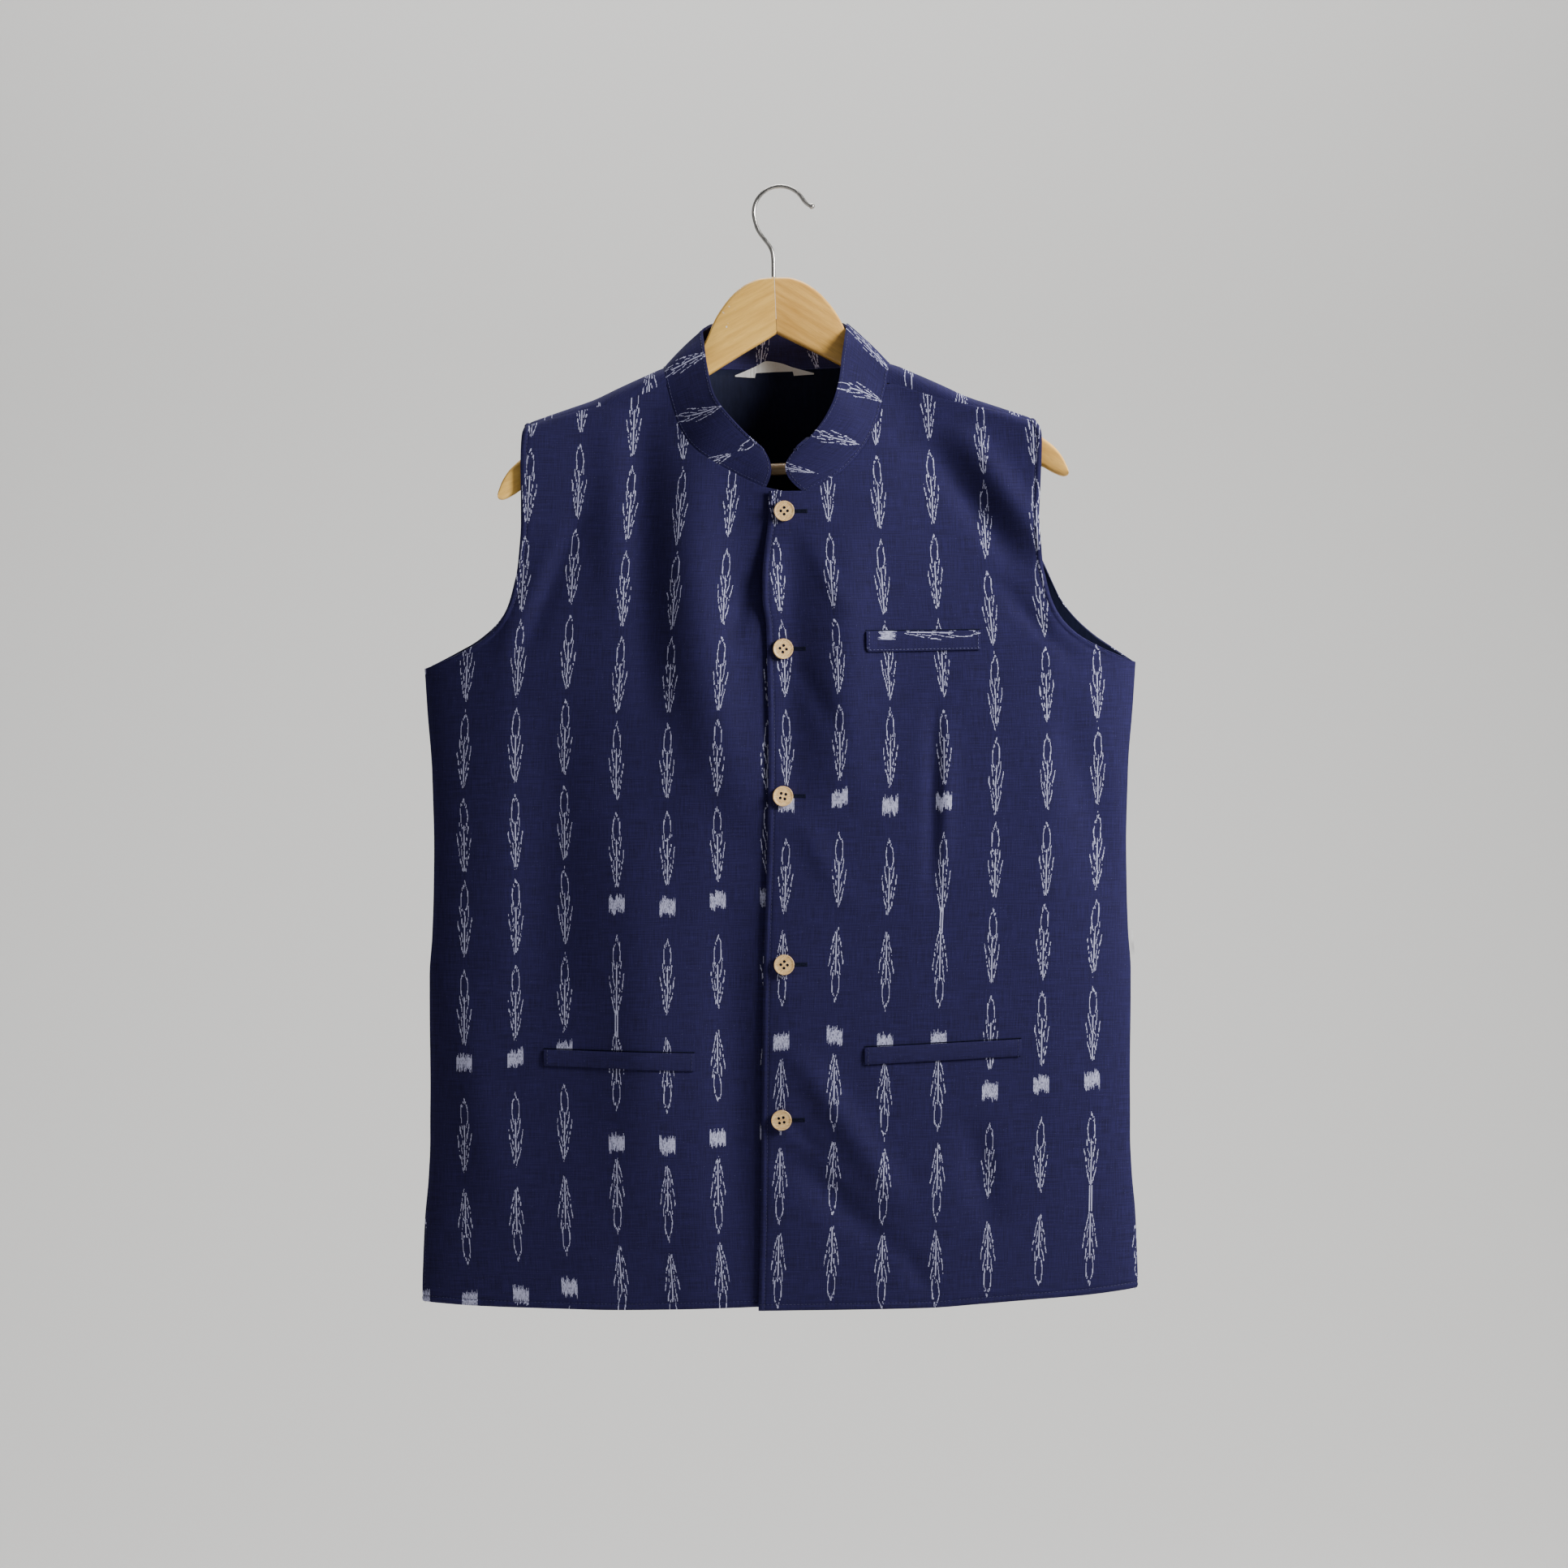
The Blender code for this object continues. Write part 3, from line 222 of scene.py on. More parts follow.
bpy.ops.mesh.primitive_uv_sphere_add(segments=24, ring_count=14, radius=HOOK_BALL, location=path[-1])
hook.select_set(True)
bpy.context.view_layer.objects.active = hook
bpy.ops.object.join()
finish_piece(hook, "wire_hook", [steel], ["hanger_hook"])


# The hanger's arms
# Two lengths of varnished beech, bandsawn to a deep hump in the middle and rounded shoulders,
# and glued at a mitre. Each has a notched ear below, in which the trouser bar is held.
HANGER_X = -4.5 * MM
HANGER_LEVEL = 64.1 * MM
HANGER_ROLL = math.radians(-2.4)
TAPE_ZERO = 5.2 * MM      # every drop is measured from this far under the hook's crest
ARM_BOW = 24.0 * MM
ARM_REACH = 200.0 * MM
ARM_THICK = 10.6
ARM_TIP_THICK = 8.4
ARM_EDGE = 3.6            # radius of the rounded corners, and the most of the height it may take
ARM_EDGE_SHARE = 0.42
ARM_THIN_START = 120.0 * MM
ARM_THIN_RUN = 70.0 * MM
ArmRow = namedtuple("ArmRow", "out top low")
ARM_PROFILE = [
    ArmRow(0.15, 64.1, 108.2), ArmRow(10.0, 64.6, 113.6), ArmRow(20.0, 67.6, 119.0),
    ArmRow(28.0, 72.4, 123.4), ArmRow(35.0, 78.4, 127.4), ArmRow(41.0, 85.5, 130.8),
    ArmRow(46.0, 92.5, 133.8), ArmRow(50.0, 100.0, 136.1), ArmRow(53.5, 107.8, 138.1),
    ArmRow(58.0, 115.2, 140.6), ArmRow(66.0, 124.8, 145.0), ArmRow(76.0, 136.0, 150.6),
    ArmRow(86.0, 142.5, 156.2), ArmRow(96.0, 146.0, 162.0), ArmRow(106.0, 149.4, 167.6),
    ArmRow(125.0, 158.8, 178.5), ArmRow(144.0, 168.8, 189.4), ArmRow(163.5, 176.5, 200.8),
    ArmRow(164.5, 176.8, 224.6), ArmRow(171.0, 179.4, 228.2), ArmRow(178.0, 182.4, 228.8),
    ArmRow(185.0, 185.8, 226.8), ArmRow(191.0, 190.4, 221.4), ArmRow(197.0, 195.8, 220.6),
    ArmRow(201.0, 199.0, 222.2), ArmRow(206.0, 203.2, 225.6), ArmRow(210.5, 207.5, 228.2),
    ArmRow(214.0, 212.2, 229.8), ArmRow(216.8, 217.0, 230.4), ArmRow(219.0, 222.5, 229.9),
    ArmRow(219.9, 226.0, 228.6),
]
ARM_STEP = 2.4            # millimetres between sections
CORNER_POINTS = 5


class Profile:
    """A smooth curve through a table's rows, keyed by its first column, that never overshoots.

    Keys and values in the tables are millimetres, and they come out in metres.
    """

    def __init__(self, rows):
        self.keys = [row[0] * MM for row in rows]
        self.columns = [[value * MM for value in column] for column in list(zip(*rows))[1:]]
        self.slopes = [self.tangents(column) for column in self.columns]

    def tangents(self, values):
        chords = [(after - before) / (end - start) for before, after, start, end
                  in zip(values, values[1:], self.keys, self.keys[1:])]
        slopes = [chords[0]]
        for before, after in zip(chords, chords[1:]):
            steady = before * after > 0
            slopes.append(2 * before * after / (before + after) if steady else 0.0)
        return slopes + [chords[-1]]

    def row(self, key):
        key = min(max(key, self.keys[0]), self.keys[-1])
        i = 0
        while i < len(self.keys) - 2 and key > self.keys[i + 1]:
            i += 1
        span = self.keys[i + 1] - self.keys[i]
        t = (key - self.keys[i]) / span
        share = ease(t)
        return [column[i] * (1 - share) + column[i + 1] * share
                + span * (t * (1 - t) ** 2 * slope[i] - t * t * (1 - t) * slope[i + 1])
                for column, slope in zip(self.columns, self.slopes)]

    def __call__(self, key):
        return self.row(key)[0]


def ease(value):
    value = min(max(value, 0.0), 1.0)
    return value * value * (3 - 2 * value)


def wood_finish(name, tilt, tint):
    """Varnished beech: long grain along the arm, darker pores, and chips in the varnish."""
    finish, tree, shader = new_finish(name, tint, 0.32)
    place = object_place(tree)
    long_grain = grain(place, 30.0, 6.0, stretch=(0.8, 6.0, 9.0), turn=(0.0, tilt, 0.0))
    pores = grain(place, 190.0, 4.0, stretch=(0.5, 4.0, 9.0), turn=(0.0, tilt, 0.0))
    clouds = grain(place, 14.0, 2.0)
    dark = tuple(value * share for value, share in zip(tint, (0.7, 0.58, 0.44)))
    warm = tuple(value * share for value, share in zip(tint, (1.06, 1.05, 1.0)))
    colour = blend_of(between(long_grain, 0.35, 0.75), warm, dark)
    colour = blend_of(between(pores, 0.56, 0.72, 0.0, 0.8), colour, dark)
    colour = blend_of(between(clouds, 0.35, 0.7, 0.0, 0.4), colour, tint)
    chips = grain(place, 210.0, 1.0)
    worn = grain(place, 34.0, 1.0)
    chipped = between(chips, 0.7, 0.74) * between(worn, 0.58, 0.66)
    wire(blend_of(chipped, colour, (0.9, 0.86, 0.78)), shader.inputs["Base Color"])
    wire(between(pores, 0.35, 0.75, 0.26, 0.46), shader.inputs["Roughness"])
    shader.inputs["Coat Weight"].default_value = 0.2
    shader.inputs["Coat Roughness"].default_value = 0.18
    raise_by(shader, pores * -0.4 + chips * 0.2, 0.25, 0.0004)
    return finish


def arm_section(out):
    """The four-cornered section of an arm at one distance from the middle, in its own frame."""
    top, low = arm_profile.row(out)
    thin = ease((out - ARM_THIN_START) / ARM_THIN_RUN)
    half = (ARM_THICK * (1 - thin) + ARM_TIP_THICK * thin) / 2 * MM
    edge = min(ARM_EDGE * MM, (low - top) * ARM_EDGE_SHARE)
    bow = -ARM_BOW * (out / ARM_REACH) ** 2
    points = []
    for side, level, quarter in ((-1, top, 0), (1, top, 1), (1, low, 2), (-1, low, 3)):
        inside = level + math.copysign(edge, (top + low) / 2 - level)
        for step in range(CORNER_POINTS):
            angle = math.radians(180 - 90 * quarter - 90 * step / (CORNER_POINTS - 1))
            points.append(Vector((out, bow + side * (half - edge) + edge * math.cos(angle),
                                  HANGER_LEVEL - inside + edge * math.sin(angle))))
    return points


arm_profile = Profile(ARM_PROFILE)
hanger_place = Vector((HANGER_X, 0.0, -HANGER_LEVEL - TAPE_ZERO))
hanger_turn = Quaternion((0.0, 1.0, 0.0), HANGER_ROLL)
outs = [row.out * MM for row in ARM_PROFILE]
for before, after in zip(ARM_PROFILE, ARM_PROFILE[1:]):
    steps = int((after.out - before.out) / ARM_STEP)
    outs += [(before.out + (after.out - before.out) * i / (steps + 1)) * MM for i in range(1, steps + 1)]
outs.sort()
# Both arms are the same beech. The wearer's right arm gets a lighter tint and the left a darker one:
# painted light and shade, for how each arm faces the light.
for side, sign, tilt, tint in (("left", 1, -0.55, (0.86, 0.5, 0.13)),
                               ("right", -1, 0.5, (0.95, 0.58, 0.14))):
    sections = [arm_section(out) for out in outs]
    around = len(sections[0])
    bpy.ops.object.select_all(action="DESELECT")
    bpy.ops.mesh.primitive_cylinder_add(vertices=around, end_fill_type="NOTHING")
    arm = bpy.context.object
    bpy.ops.object.mode_set(mode="EDIT")
    bpy.ops.mesh.select_all(action="DESELECT")
    bpy.ops.object.mode_set(mode="OBJECT")
    ends = sorted(arm.data.vertices, key=lambda vertex: (vertex.co.z, math.atan2(vertex.co.y, vertex.co.x)))
    for section, ring in ((sections[0], ends[:around]), (sections[1], ends[around:])):
        for vertex, place in zip(ring, section):
            vertex.co = place
    for vertex in ends[around:]:
        vertex.select = True
    for previous, section in zip(sections[1:], sections[2:]):
        bpy.ops.object.mode_set(mode="EDIT")
        bpy.ops.mesh.select_mode(type="VERT")
        bpy.ops.mesh.extrude_edges_move()
        bpy.ops.object.mode_set(mode="OBJECT")
        for vertex in arm.data.vertices:
            if vertex.select:
                nearest = min(range(around), key=lambda i: (previous[i] - vertex.co).length)
                vertex.co = section[nearest]
    bpy.ops.object.mode_set(mode="EDIT")
    bpy.ops.mesh.select_all(action="DESELECT")
    bpy.ops.mesh.select_non_manifold()
    bpy.ops.mesh.fill_holes(sides=0)
    bpy.ops.object.mode_set(mode="OBJECT")
    for vertex in arm.data.vertices:
        vertex.co = hanger_turn @ Vector((sign * vertex.co.x, vertex.co.y, vertex.co.z)) + hanger_place
    bpy.ops.object.mode_set(mode="EDIT")
    bpy.ops.mesh.select_all(action="SELECT")
    bpy.ops.mesh.normals_make_consistent(inside=False)
    bpy.ops.object.mode_set(mode="OBJECT")
    wood = wood_finish("hanger_wood_" + side, tilt, tint)
    finish_piece(arm, "hanger_arm_" + side, [wood], ["hanger_" + side], angle=50)


# The trouser bar
# A plain turned rod of the same wood, held in the two ears. Only a finger's width of it shows,
# through the gap between the collar's ends.
BAR_RADIUS = 4.5 * MM
BAR_HALF = 163.6 * MM
BAR_DROP = 214.5 * MM
BAR_Y = -14.5 * MM
BAR_CHAMFER = 0.8 * MM

bpy.ops.object.select_all(action="DESELECT")
bpy.ops.mesh.primitive_cylinder_add(vertices=48, radius=BAR_RADIUS, depth=2 * BAR_HALF)
bar = bpy.context.object
bpy.ops.object.mode_set(mode="EDIT")
bpy.ops.mesh.select_all(action="SELECT")
bpy.ops.mesh.edges_select_sharp(sharpness=math.radians(60))
bpy.ops.mesh.bevel(offset=BAR_CHAMFER, segments=3)
bpy.ops.object.mode_set(mode="OBJECT")
bar.rotation_mode = "QUATERNION"
bar.rotation_quaternion = hanger_turn @ Quaternion((0.0, 1.0, 0.0), math.pi / 2)
bar.location = hanger_place + hanger_turn @ Vector((0.0, BAR_Y, HANGER_LEVEL - BAR_DROP))
# The bar's tint is darker than the arms' though it is the same wood: painted shade, for the shadow it hangs
# in inside the jacket.
bar_wood = wood_finish("bar_wood", 0.0, (0.6, 0.4, 0.2))
finish_piece(bar, "trouser_bar", [bar_wood], ["hanger_bar"])


# The back's lining
# Smooth navy cotton, cut like the back and sewn to it round its edges. It shows dark inside the
# neck, in the armholes and under the hem.
ROLL = 0.0098             # the jacket hangs a little lower on the viewer's left
NECK_X = -2.8 * MM
WEARER_Y = -4.0 * MM
SEAM_GAP = 0.3 * MM
ROUND = 9.2 * MM          # radius of the fold over the hanger's arm
BOW_FADE = 350.0 * MM
BOW_END = 210.0 * MM      # the cloth follows the arm's bow this far out
UNEVEN_RUN = 60.0 * MM    # the cloth is smooth on the ridge, and fully uneven this far down
SIDE_POWER = 6            # how square the body's plan is at the side seams
UNDERARM = 366.6 * MM
VENT_TOP = 779.0 * MM
VENT_SPREAD = 3.6 * MM
VENT_RUN = 80.0 * MM
SIDE_AT_HEM = 277.6 * MM
BACK_CLOTH = 1.3 * MM
LINING_CLOTH = 0.8 * MM
RidgeRow = namedtuple("RidgeRow", "out drop")
SHOULDER_RIDGE = [
    RidgeRow(0.0, 127.5), RidgeRow(50.0, 128.3), RidgeRow(75.0, 130.2), RidgeRow(88.0, 133.4),
    RidgeRow(106.0, 141.1), RidgeRow(125.0, 149.9), RidgeRow(144.0, 159.2),
    RidgeRow(163.0, 166.1), RidgeRow(182.0, 173.0), RidgeRow(200.0, 179.9),
    RidgeRow(240.0, 194.5), RidgeRow(290.0, 212.5),
]
SideRow = namedtuple("SideRow", "drop out")
SIDE_SEAM = [
    SideRow(366.6, 275.3), SideRow(391.9, 273.7), SideRow(448.0, 269.8), SideRow(510.6, 268.4),
    SideRow(573.0, 270.0), SideRow(604.4, 272.3), SideRow(666.9, 271.8), SideRow(729.4, 271.8),
    SideRow(760.6, 273.1), SideRow(791.9, 275.9), SideRow(823.0, 277.2), SideRow(862.0, 277.8),
]
ArmholeRow = namedtuple("ArmholeRow", "drop front_right front_left back_right back_left")
ARMHOLE = [
    ArmholeRow(180.0, 197.0, 197.5, 197.6, 197.8), ArmholeRow(186.0, 198.6, 200.4, 197.9, 200.2),
    ArmholeRow(195.0, 199.4, 201.4, 198.3, 200.8), ArmholeRow(205.0, 199.7, 201.2, 198.6, 200.4),
    ArmholeRow(230.0, 199.4, 200.2, 198.4, 199.4), ArmholeRow(255.0, 199.3, 199.3, 198.4, 198.8),
    ArmholeRow(280.0, 201.0, 201.0, 200.0, 201.5), ArmholeRow(292.0, 202.3, 202.3, 201.8, 206.4),
    ArmholeRow(304.0, 205.0, 205.0, 205.2, 211.6), ArmholeRow(317.0, 208.5, 208.5, 210.5, 218.0),
    ArmholeRow(330.0, 215.0, 215.0, 218.5, 228.0), ArmholeRow(344.0, 228.0, 228.0, 234.0, 243.0),
    ArmholeRow(356.0, 249.0, 249.0, 254.5, 260.0), ArmholeRow(362.0, 263.0, 263.0, 266.0, 268.5),
    ArmholeRow(366.6, 275.3, 275.3, 275.3, 275.3),
]
FaceForm = namedtuple("FaceForm", "loose settle bulge")
BulgeRow = namedtuple("BulgeRow", "drop depth width")
BACK_FORM = FaceForm(6.0 * MM, 140.0 * MM, Profile([
    BulgeRow(129.0, 19.0, 91.0), BulgeRow(136.0, 19.0, 90.0), BulgeRow(200.0, 18.0, 150.0),
    BulgeRow(366.0, 14.0, 262.0), BulgeRow(510.0, 10.0, 268.0), BulgeRow(862.0, 14.0, 285.0),
]))
FRONT_FORM = FaceForm(12.0 * MM, 75.0 * MM, Profile([
    BulgeRow(129.0, 16.0, 86.0), BulgeRow(136.0, 16.5, 88.0), BulgeRow(231.0, 20.0, 150.0),
    BulgeRow(366.0, 22.0, 262.0), BulgeRow(510.0, 18.0, 268.0), BulgeRow(690.0, 16.0, 275.0),
    BulgeRow(862.0, 18.0, 285.0),
]))
# Each fold runs down a centre line through three x places, with a half width and a height
Fold = namedtuple("Fold", "drop_top drop_low x_top x_mid x_low width height")
BACK_FOLDS = [
    Fold(175.0, 470.0, -92.0, -88.0, -60.0, 22.0, 4.0),
    Fold(175.0, 450.0, 90.0, 86.0, 66.0, 24.0, 3.5),
    Fold(230.0, 640.0, 4.0, -6.0, 8.0, 26.0, -3.5),
    Fold(420.0, 800.0, -150.0, -142.0, -150.0, 28.0, 3.5),
    Fold(440.0, 840.0, 132.0, 146.0, 140.0, 30.0, 4.0),
    Fold(560.0, 850.0, 62.0, 58.0, 66.0, 24.0, -3.0),
    Fold(380.0, 620.0, 214.0, 222.0, 214.0, 20.0, -2.5),
    Fold(200.0, 330.0, -128.0, -158.0, -188.0, 11.0, 2.0),
    Fold(205.0, 350.0, 130.0, 162.0, 196.0, 12.0, 2.4),
    Fold(300.0, 560.0, -46.0, -40.0, -52.0, 10.0, 1.6),
    Fold(330.0, 520.0, 40.0, 46.0, 34.0, 9.0, -1.5),
    Fold(600.0, 800.0, -70.0, -96.0, -128.0, 12.0, -2.0),
    Fold(620.0, 760.0, 200.0, 180.0, 168.0, 12.0, 1.8),
]
ARMHOLE_TOP = 182.0 * MM
NECK_AT_RIDGE = 88.0 * MM
SEAM_AT_NECK = 84.5
ARMHOLE_AT_SEAM = 197.0 * MM
ARMHOLE_AT_RIDGE = 197.6 * MM
BandRow = namedtuple("BandRow", "out drop top_out top_drop top_y")
NECK_BACK = [
    BandRow(0.0, 133.4, 0.0, 92.2, 35.0), BandRow(35.0, 133.4, 24.0, 93.1, 32.0),
    BandRow(62.0, 133.4, 42.0, 95.1, 24.0), BandRow(80.0, 133.2, 52.4, 98.6, 11.0),
    BandRow(88.0, 133.4, 55.8, 102.8, -5.0),
]
SeamRow = namedtuple("SeamRow", "out below_ridge")
SHOULDER_SEAM = [
    SeamRow(78.0, 17.0), SeamRow(88.0, 16.0), SeamRow(117.0, 13.0), SeamRow(152.0, 5.5),
    SeamRow(197.0, 1.6),
]
HemRow = namedtuple("HemRow", "x drop")
BACK_HEM = [
    HemRow(-278.0, 855.0), HemRow(-150.0, 858.5), HemRow(0.0, 860.5), HemRow(150.0, 857.5),
    HemRow(278.0, 850.5),
]
EDGE_INSET = 4.7 * MM     # how far inside an edge its topstitching runs
EDGE_STEPS = (0.0, 0.7, 1.5, 2.4, 3.4, 4.1, 4.7, 5.3, 6.2, 8.0, 11.0)
SpacingRow = namedtuple("SpacingRow", "drop spacing")
ARMHOLE_SPACING = [SpacingRow(330.0, 4.5), SpacingRow(350.0, 2.8), SpacingRow(366.6, 1.5)]
SIDE_SPACING = 4.4 * MM
FOLD_DEPTH = 1.5          # times the folds' tabled heights
FOLD_REACH = 3.2          # how many half widths from its centre line a fold still counts
UNEVEN = 0.5 * MM         # how far handwoven cotton wanders from a smooth fall
Place = namedtuple("Place", "point flat")

ridge = Profile(SHOULDER_RIDGE)
side_seam = Profile(SIDE_SEAM)
armhole = Profile(ARMHOLE)
shoulder_seam = Profile(SHOULDER_SEAM)


def flat(x, drop):
    return 0.0


def fold_height(folds, x, drop):
    """The height of the folds at a place, each swelling and dying along its own length."""
    height = 0.0
    for fold in folds:
        along = (drop / MM - fold.drop_top) / (fold.drop_low - fold.drop_top)
        if not 0.0 < along < 1.0:
            continue
        middle = (fold.x_top * (1 - along) * (1 - 2 * along) + 4 * fold.x_mid * along * (1 - along)
                  - fold.x_low * along * (1 - 2 * along))
        across = (x / MM - middle) / fold.width
        if abs(across) < FOLD_REACH:
            height += fold.height * MM * math.sin(math.pi * along) ** 0.8 * math.exp(-across * across)
    return height * FOLD_DEPTH


def waver(x, drop):
    """Small unevenness, longer down the cloth than across it."""
    long_waves = noise.noise(Vector((x * 17.0, drop * 6.0, 2.0)))
    short_waves = noise.noise(Vector((x * 46.0, drop * 21.0, 9.0)))
    return UNEVEN * (1.3 * long_waves + 0.6 * short_waves)


def depth_of(fall):
    """How far below the shoulder ridge a place is, from its fall along the cloth."""
    fall = abs(fall)
    if fall < ROUND:
        return fall * fall / (2 * ROUND)
    return fall - ROUND / 2


def fall_of(depth):
    depth = max(depth, 0.0)
    if depth < ROUND / 2:
        return math.sqrt(2 * ROUND * depth)
    return depth + ROUND / 2


def garment(x, fall, extra=flat):
    """A place on the jacket. Fall is the way down from the ridge, and below zero at the back."""
    face = 1 if fall > 0 else -1
    form, folds = (FRONT_FORM, FRONT_FOLDS) if face > 0 else (BACK_FORM, BACK_FOLDS)
    out = abs(x)
    depth = depth_of(fall)
    drop = ridge(out) + depth
    level = min(depth / ROUND, 1.0)
    over_arm = ROUND * math.sqrt(1 - (1 - level) ** 2)
    loose = form.loose * (1 - math.exp(-depth / form.settle))
    bulge, width = form.bulge.row(drop)
    swell = bulge * max(1 - (x / width) ** 2, 0.0) ** 2
    creases = fold_height(folds, x, drop) + waver(face * x, drop) * ease(depth / UNEVEN_RUN)
    sideways = min(out / side_seam(drop), 1.0) ** SIDE_POWER
    half = (over_arm + loose + swell + creases + extra(x, drop)) * math.sqrt(1 - sideways)
    half += VENT_SPREAD * ease((drop - VENT_TOP) / VENT_RUN) * sideways
    middle = -ARM_BOW * (min(out, BOW_END) / ARM_REACH) ** 2 * math.exp(-depth / BOW_FADE)
    return Vector((x, middle - face * half, ROLL * x - drop - TAPE_ZERO))


def cloth_place(face, x, drop, extra=flat):
    """A place on the front (1) or the back (-1), by its x and drop."""
    return garment(x, face * max(fall_of(drop - ridge(abs(x))), 0.01 * MM), extra)


def patch(top, bottom, start, end):
    """Fill the flat shape between four edges of (x, drop) points with a grid of such points."""
    width = bottom[-1].x - bottom[0].x
    height = end[-1].y - end[0].y
    rows = []
    for begin, finish in zip(start, end):
        v = (finish.y - end[0].y) / height
        row = []
        for above, below in zip(top, bottom):
            u = (below.x - bottom[0].x) / width
            corners = ((top[0] * (1 - u) + top[-1] * u) * (1 - v)
                       + (bottom[0] * (1 - u) + bottom[-1] * u) * v)
            row.append(above * (1 - v) + below * v + begin * (1 - u) + finish * u - corners)
        rows.append(row)
    return rows


def side_edge(edge_name, sign, hem_drop, top_drop):
    """An armhole and side seam as (x, drop) points from the shoulder down."""
    column = ArmholeRow._fields.index(edge_name) - 1
    drops = [top_drop + step * MM for step in EDGE_STEPS[1:]]
    for row in ARMHOLE_SPACING:
        run = row.drop * MM - drops[-1]
        count = max(round(run / (row.spacing * MM)), 1)
        drops += [drops[-1] + run * (i + 1) / count for i in range(count)]
    points = [Vector((sign * armhole.row(drop)[column], drop)) for drop in drops]
    hem_start = hem_drop - EDGE_STEPS[-1] * MM
    count = round((hem_start - UNDERARM) / SIDE_SPACING)
    drops = [UNDERARM + (hem_start - UNDERARM) * (i + 1) / count for i in range(count)]
    drops += [hem_drop - step * MM for step in reversed(EDGE_STEPS[:-1])]
    return points + [Vector((sign * side_seam(drop), drop)) for drop in drops]


def spread(start, end, cells, near_start=False, near_end=False):
    """Even steps from one number to another, with fine ones beside a sewn edge."""
    sign = math.copysign(1.0, end - start)
    first = [start + sign * step * MM for step in EDGE_STEPS[:-1]] if near_start else [start]
    last = [end - sign * step * MM for step in reversed(EDGE_STEPS[:-1])] if near_end else [end]
    low = start + sign * EDGE_STEPS[-1] * MM if near_start else start
    high = end - sign * EDGE_STEPS[-1] * MM if near_end else end
    inner = [low + (high - low) * i / cells for i in range(cells + 1)]
    if not near_start:
        inner = inner[1:]
    if not near_end:
        inner = inner[:-1]
    return first + inner + last


def lay_cloth(name, rows):
    """A grid of cloth with its points at the given places and its UV map the flat pattern.

    Where a row holds None the cloth is cut away.
    """
    down, across = len(rows) - 1, len(rows[0]) - 1
    bpy.ops.object.select_all(action="DESELECT")
    bpy.ops.mesh.primitive_grid_add(x_subdivisions=across, y_subdivisions=down, size=2.0)
    cloth = bpy.context.object
    cloth.name = name
    mesh = cloth.data
    flats = {}
    unused = []
    for vertex in mesh.vertices:
        place = rows[round((1 - vertex.co.y) / 2 * down)][round((vertex.co.x + 1) / 2 * across)]
        if place is None:
            unused.append(vertex.index)
            flats[vertex.index] = (0.0, 0.0)
        else:
            vertex.co = place.point
            flats[vertex.index] = place.flat
    for loop in mesh.loops:
        mesh.uv_layers[0].data[loop.index].uv = flats[loop.vertex_index]
    if unused:
        bpy.ops.object.mode_set(mode="EDIT")
        bpy.ops.mesh.select_mode(type="VERT")
        bpy.ops.mesh.select_all(action="DESELECT")
        bpy.ops.object.mode_set(mode="OBJECT")
        for index in unused:
            mesh.vertices[index].select = True
        bpy.ops.object.mode_set(mode="EDIT")
        bpy.ops.mesh.delete(type="VERT")
        bpy.ops.object.mode_set(mode="OBJECT")
    return cloth


PRESS_REACH = 14.0        # millimetres from an edge within which it shapes the cloth
SEWN_ROLL = 0.55
PLAIN_ROLL = 0.25
ROLL_WIDTH = 0.9
PUCKER_RATE = 0.11        # puckers for each point along an edge


def hump(reach, middle, width):
    """A smooth rise to 1 at the middle, over a width on both sides."""
    return math.exp(-((reach - middle) / width) ** 2)


def press_edges(cloth, edges, stitched, inset=EDGE_INSET, pull=0.4):
    """Roll the cloth over at its edges, and draw it down along any topstitching.

    Edges are lists of places. Stitched says for each whether a line of stitches runs inside it,
    at the inset, and pull is how many millimetres it draws the cloth down. The cloth puffs up
    between the edge and the stitches, and is puckered on both sides of them.
    """
    seam = inset / MM
    tracks = []
    for edge in edges:
        track = KDTree(len(edge))
        for i, place in enumerate(edge):
            track.insert(place, i)
        track.balance()
        tracks.append(track)
    mesh = cloth.data
    normals = [entry.vector.copy() for entry in mesh.vertex_normals]
    for vertex, normal in zip(mesh.vertices, normals):
        shift = 0.0
        for track, sewn in zip(tracks, stitched):
            _, place, distance = track.find(vertex.co)
            reach = distance / MM
            if reach > PRESS_REACH:
                continue
            shift -= (SEWN_ROLL if sewn else PLAIN_ROLL) * hump(reach, 0.0, ROLL_WIDTH)
            if sewn:
                pucker = noise.noise(Vector((place * PUCKER_RATE, 3.0, 5.0)))
                shift += (0.85 + 0.75 * pucker) * pull * hump(reach, seam * 0.53, 1.3)
                shift -= pull * hump(reach, seam, 0.75)
                shift += 0.75 * pucker * pull * hump(reach, seam + 3.3, 3.0)
        vertex.co += normal * shift * MM


def face_outward(cloth):
    """Turn a sheet's faces away from the wearer, who would stand round the neck's middle."""
    outward = 0.0
    for face in cloth.data.polygons:
        wearer = Vector((NECK_X, WEARER_Y, face.center.z))
        outward += face.area * face.normal.dot(face.center - wearer)
    if outward < 0:
        cloth.data.flip_normals()


def thicken(cloth, thickness):
    """Give a sheet its thickness inwards, with the second material on its inner side."""
    wall = cloth.modifiers.new("cloth_thickness", "SOLIDIFY")
    wall.thickness = thickness
    wall.offset = -1.0
    wall.material_offset = 1
    pick_only(cloth)
    bpy.ops.object.modifier_apply(modifier=wall.name)


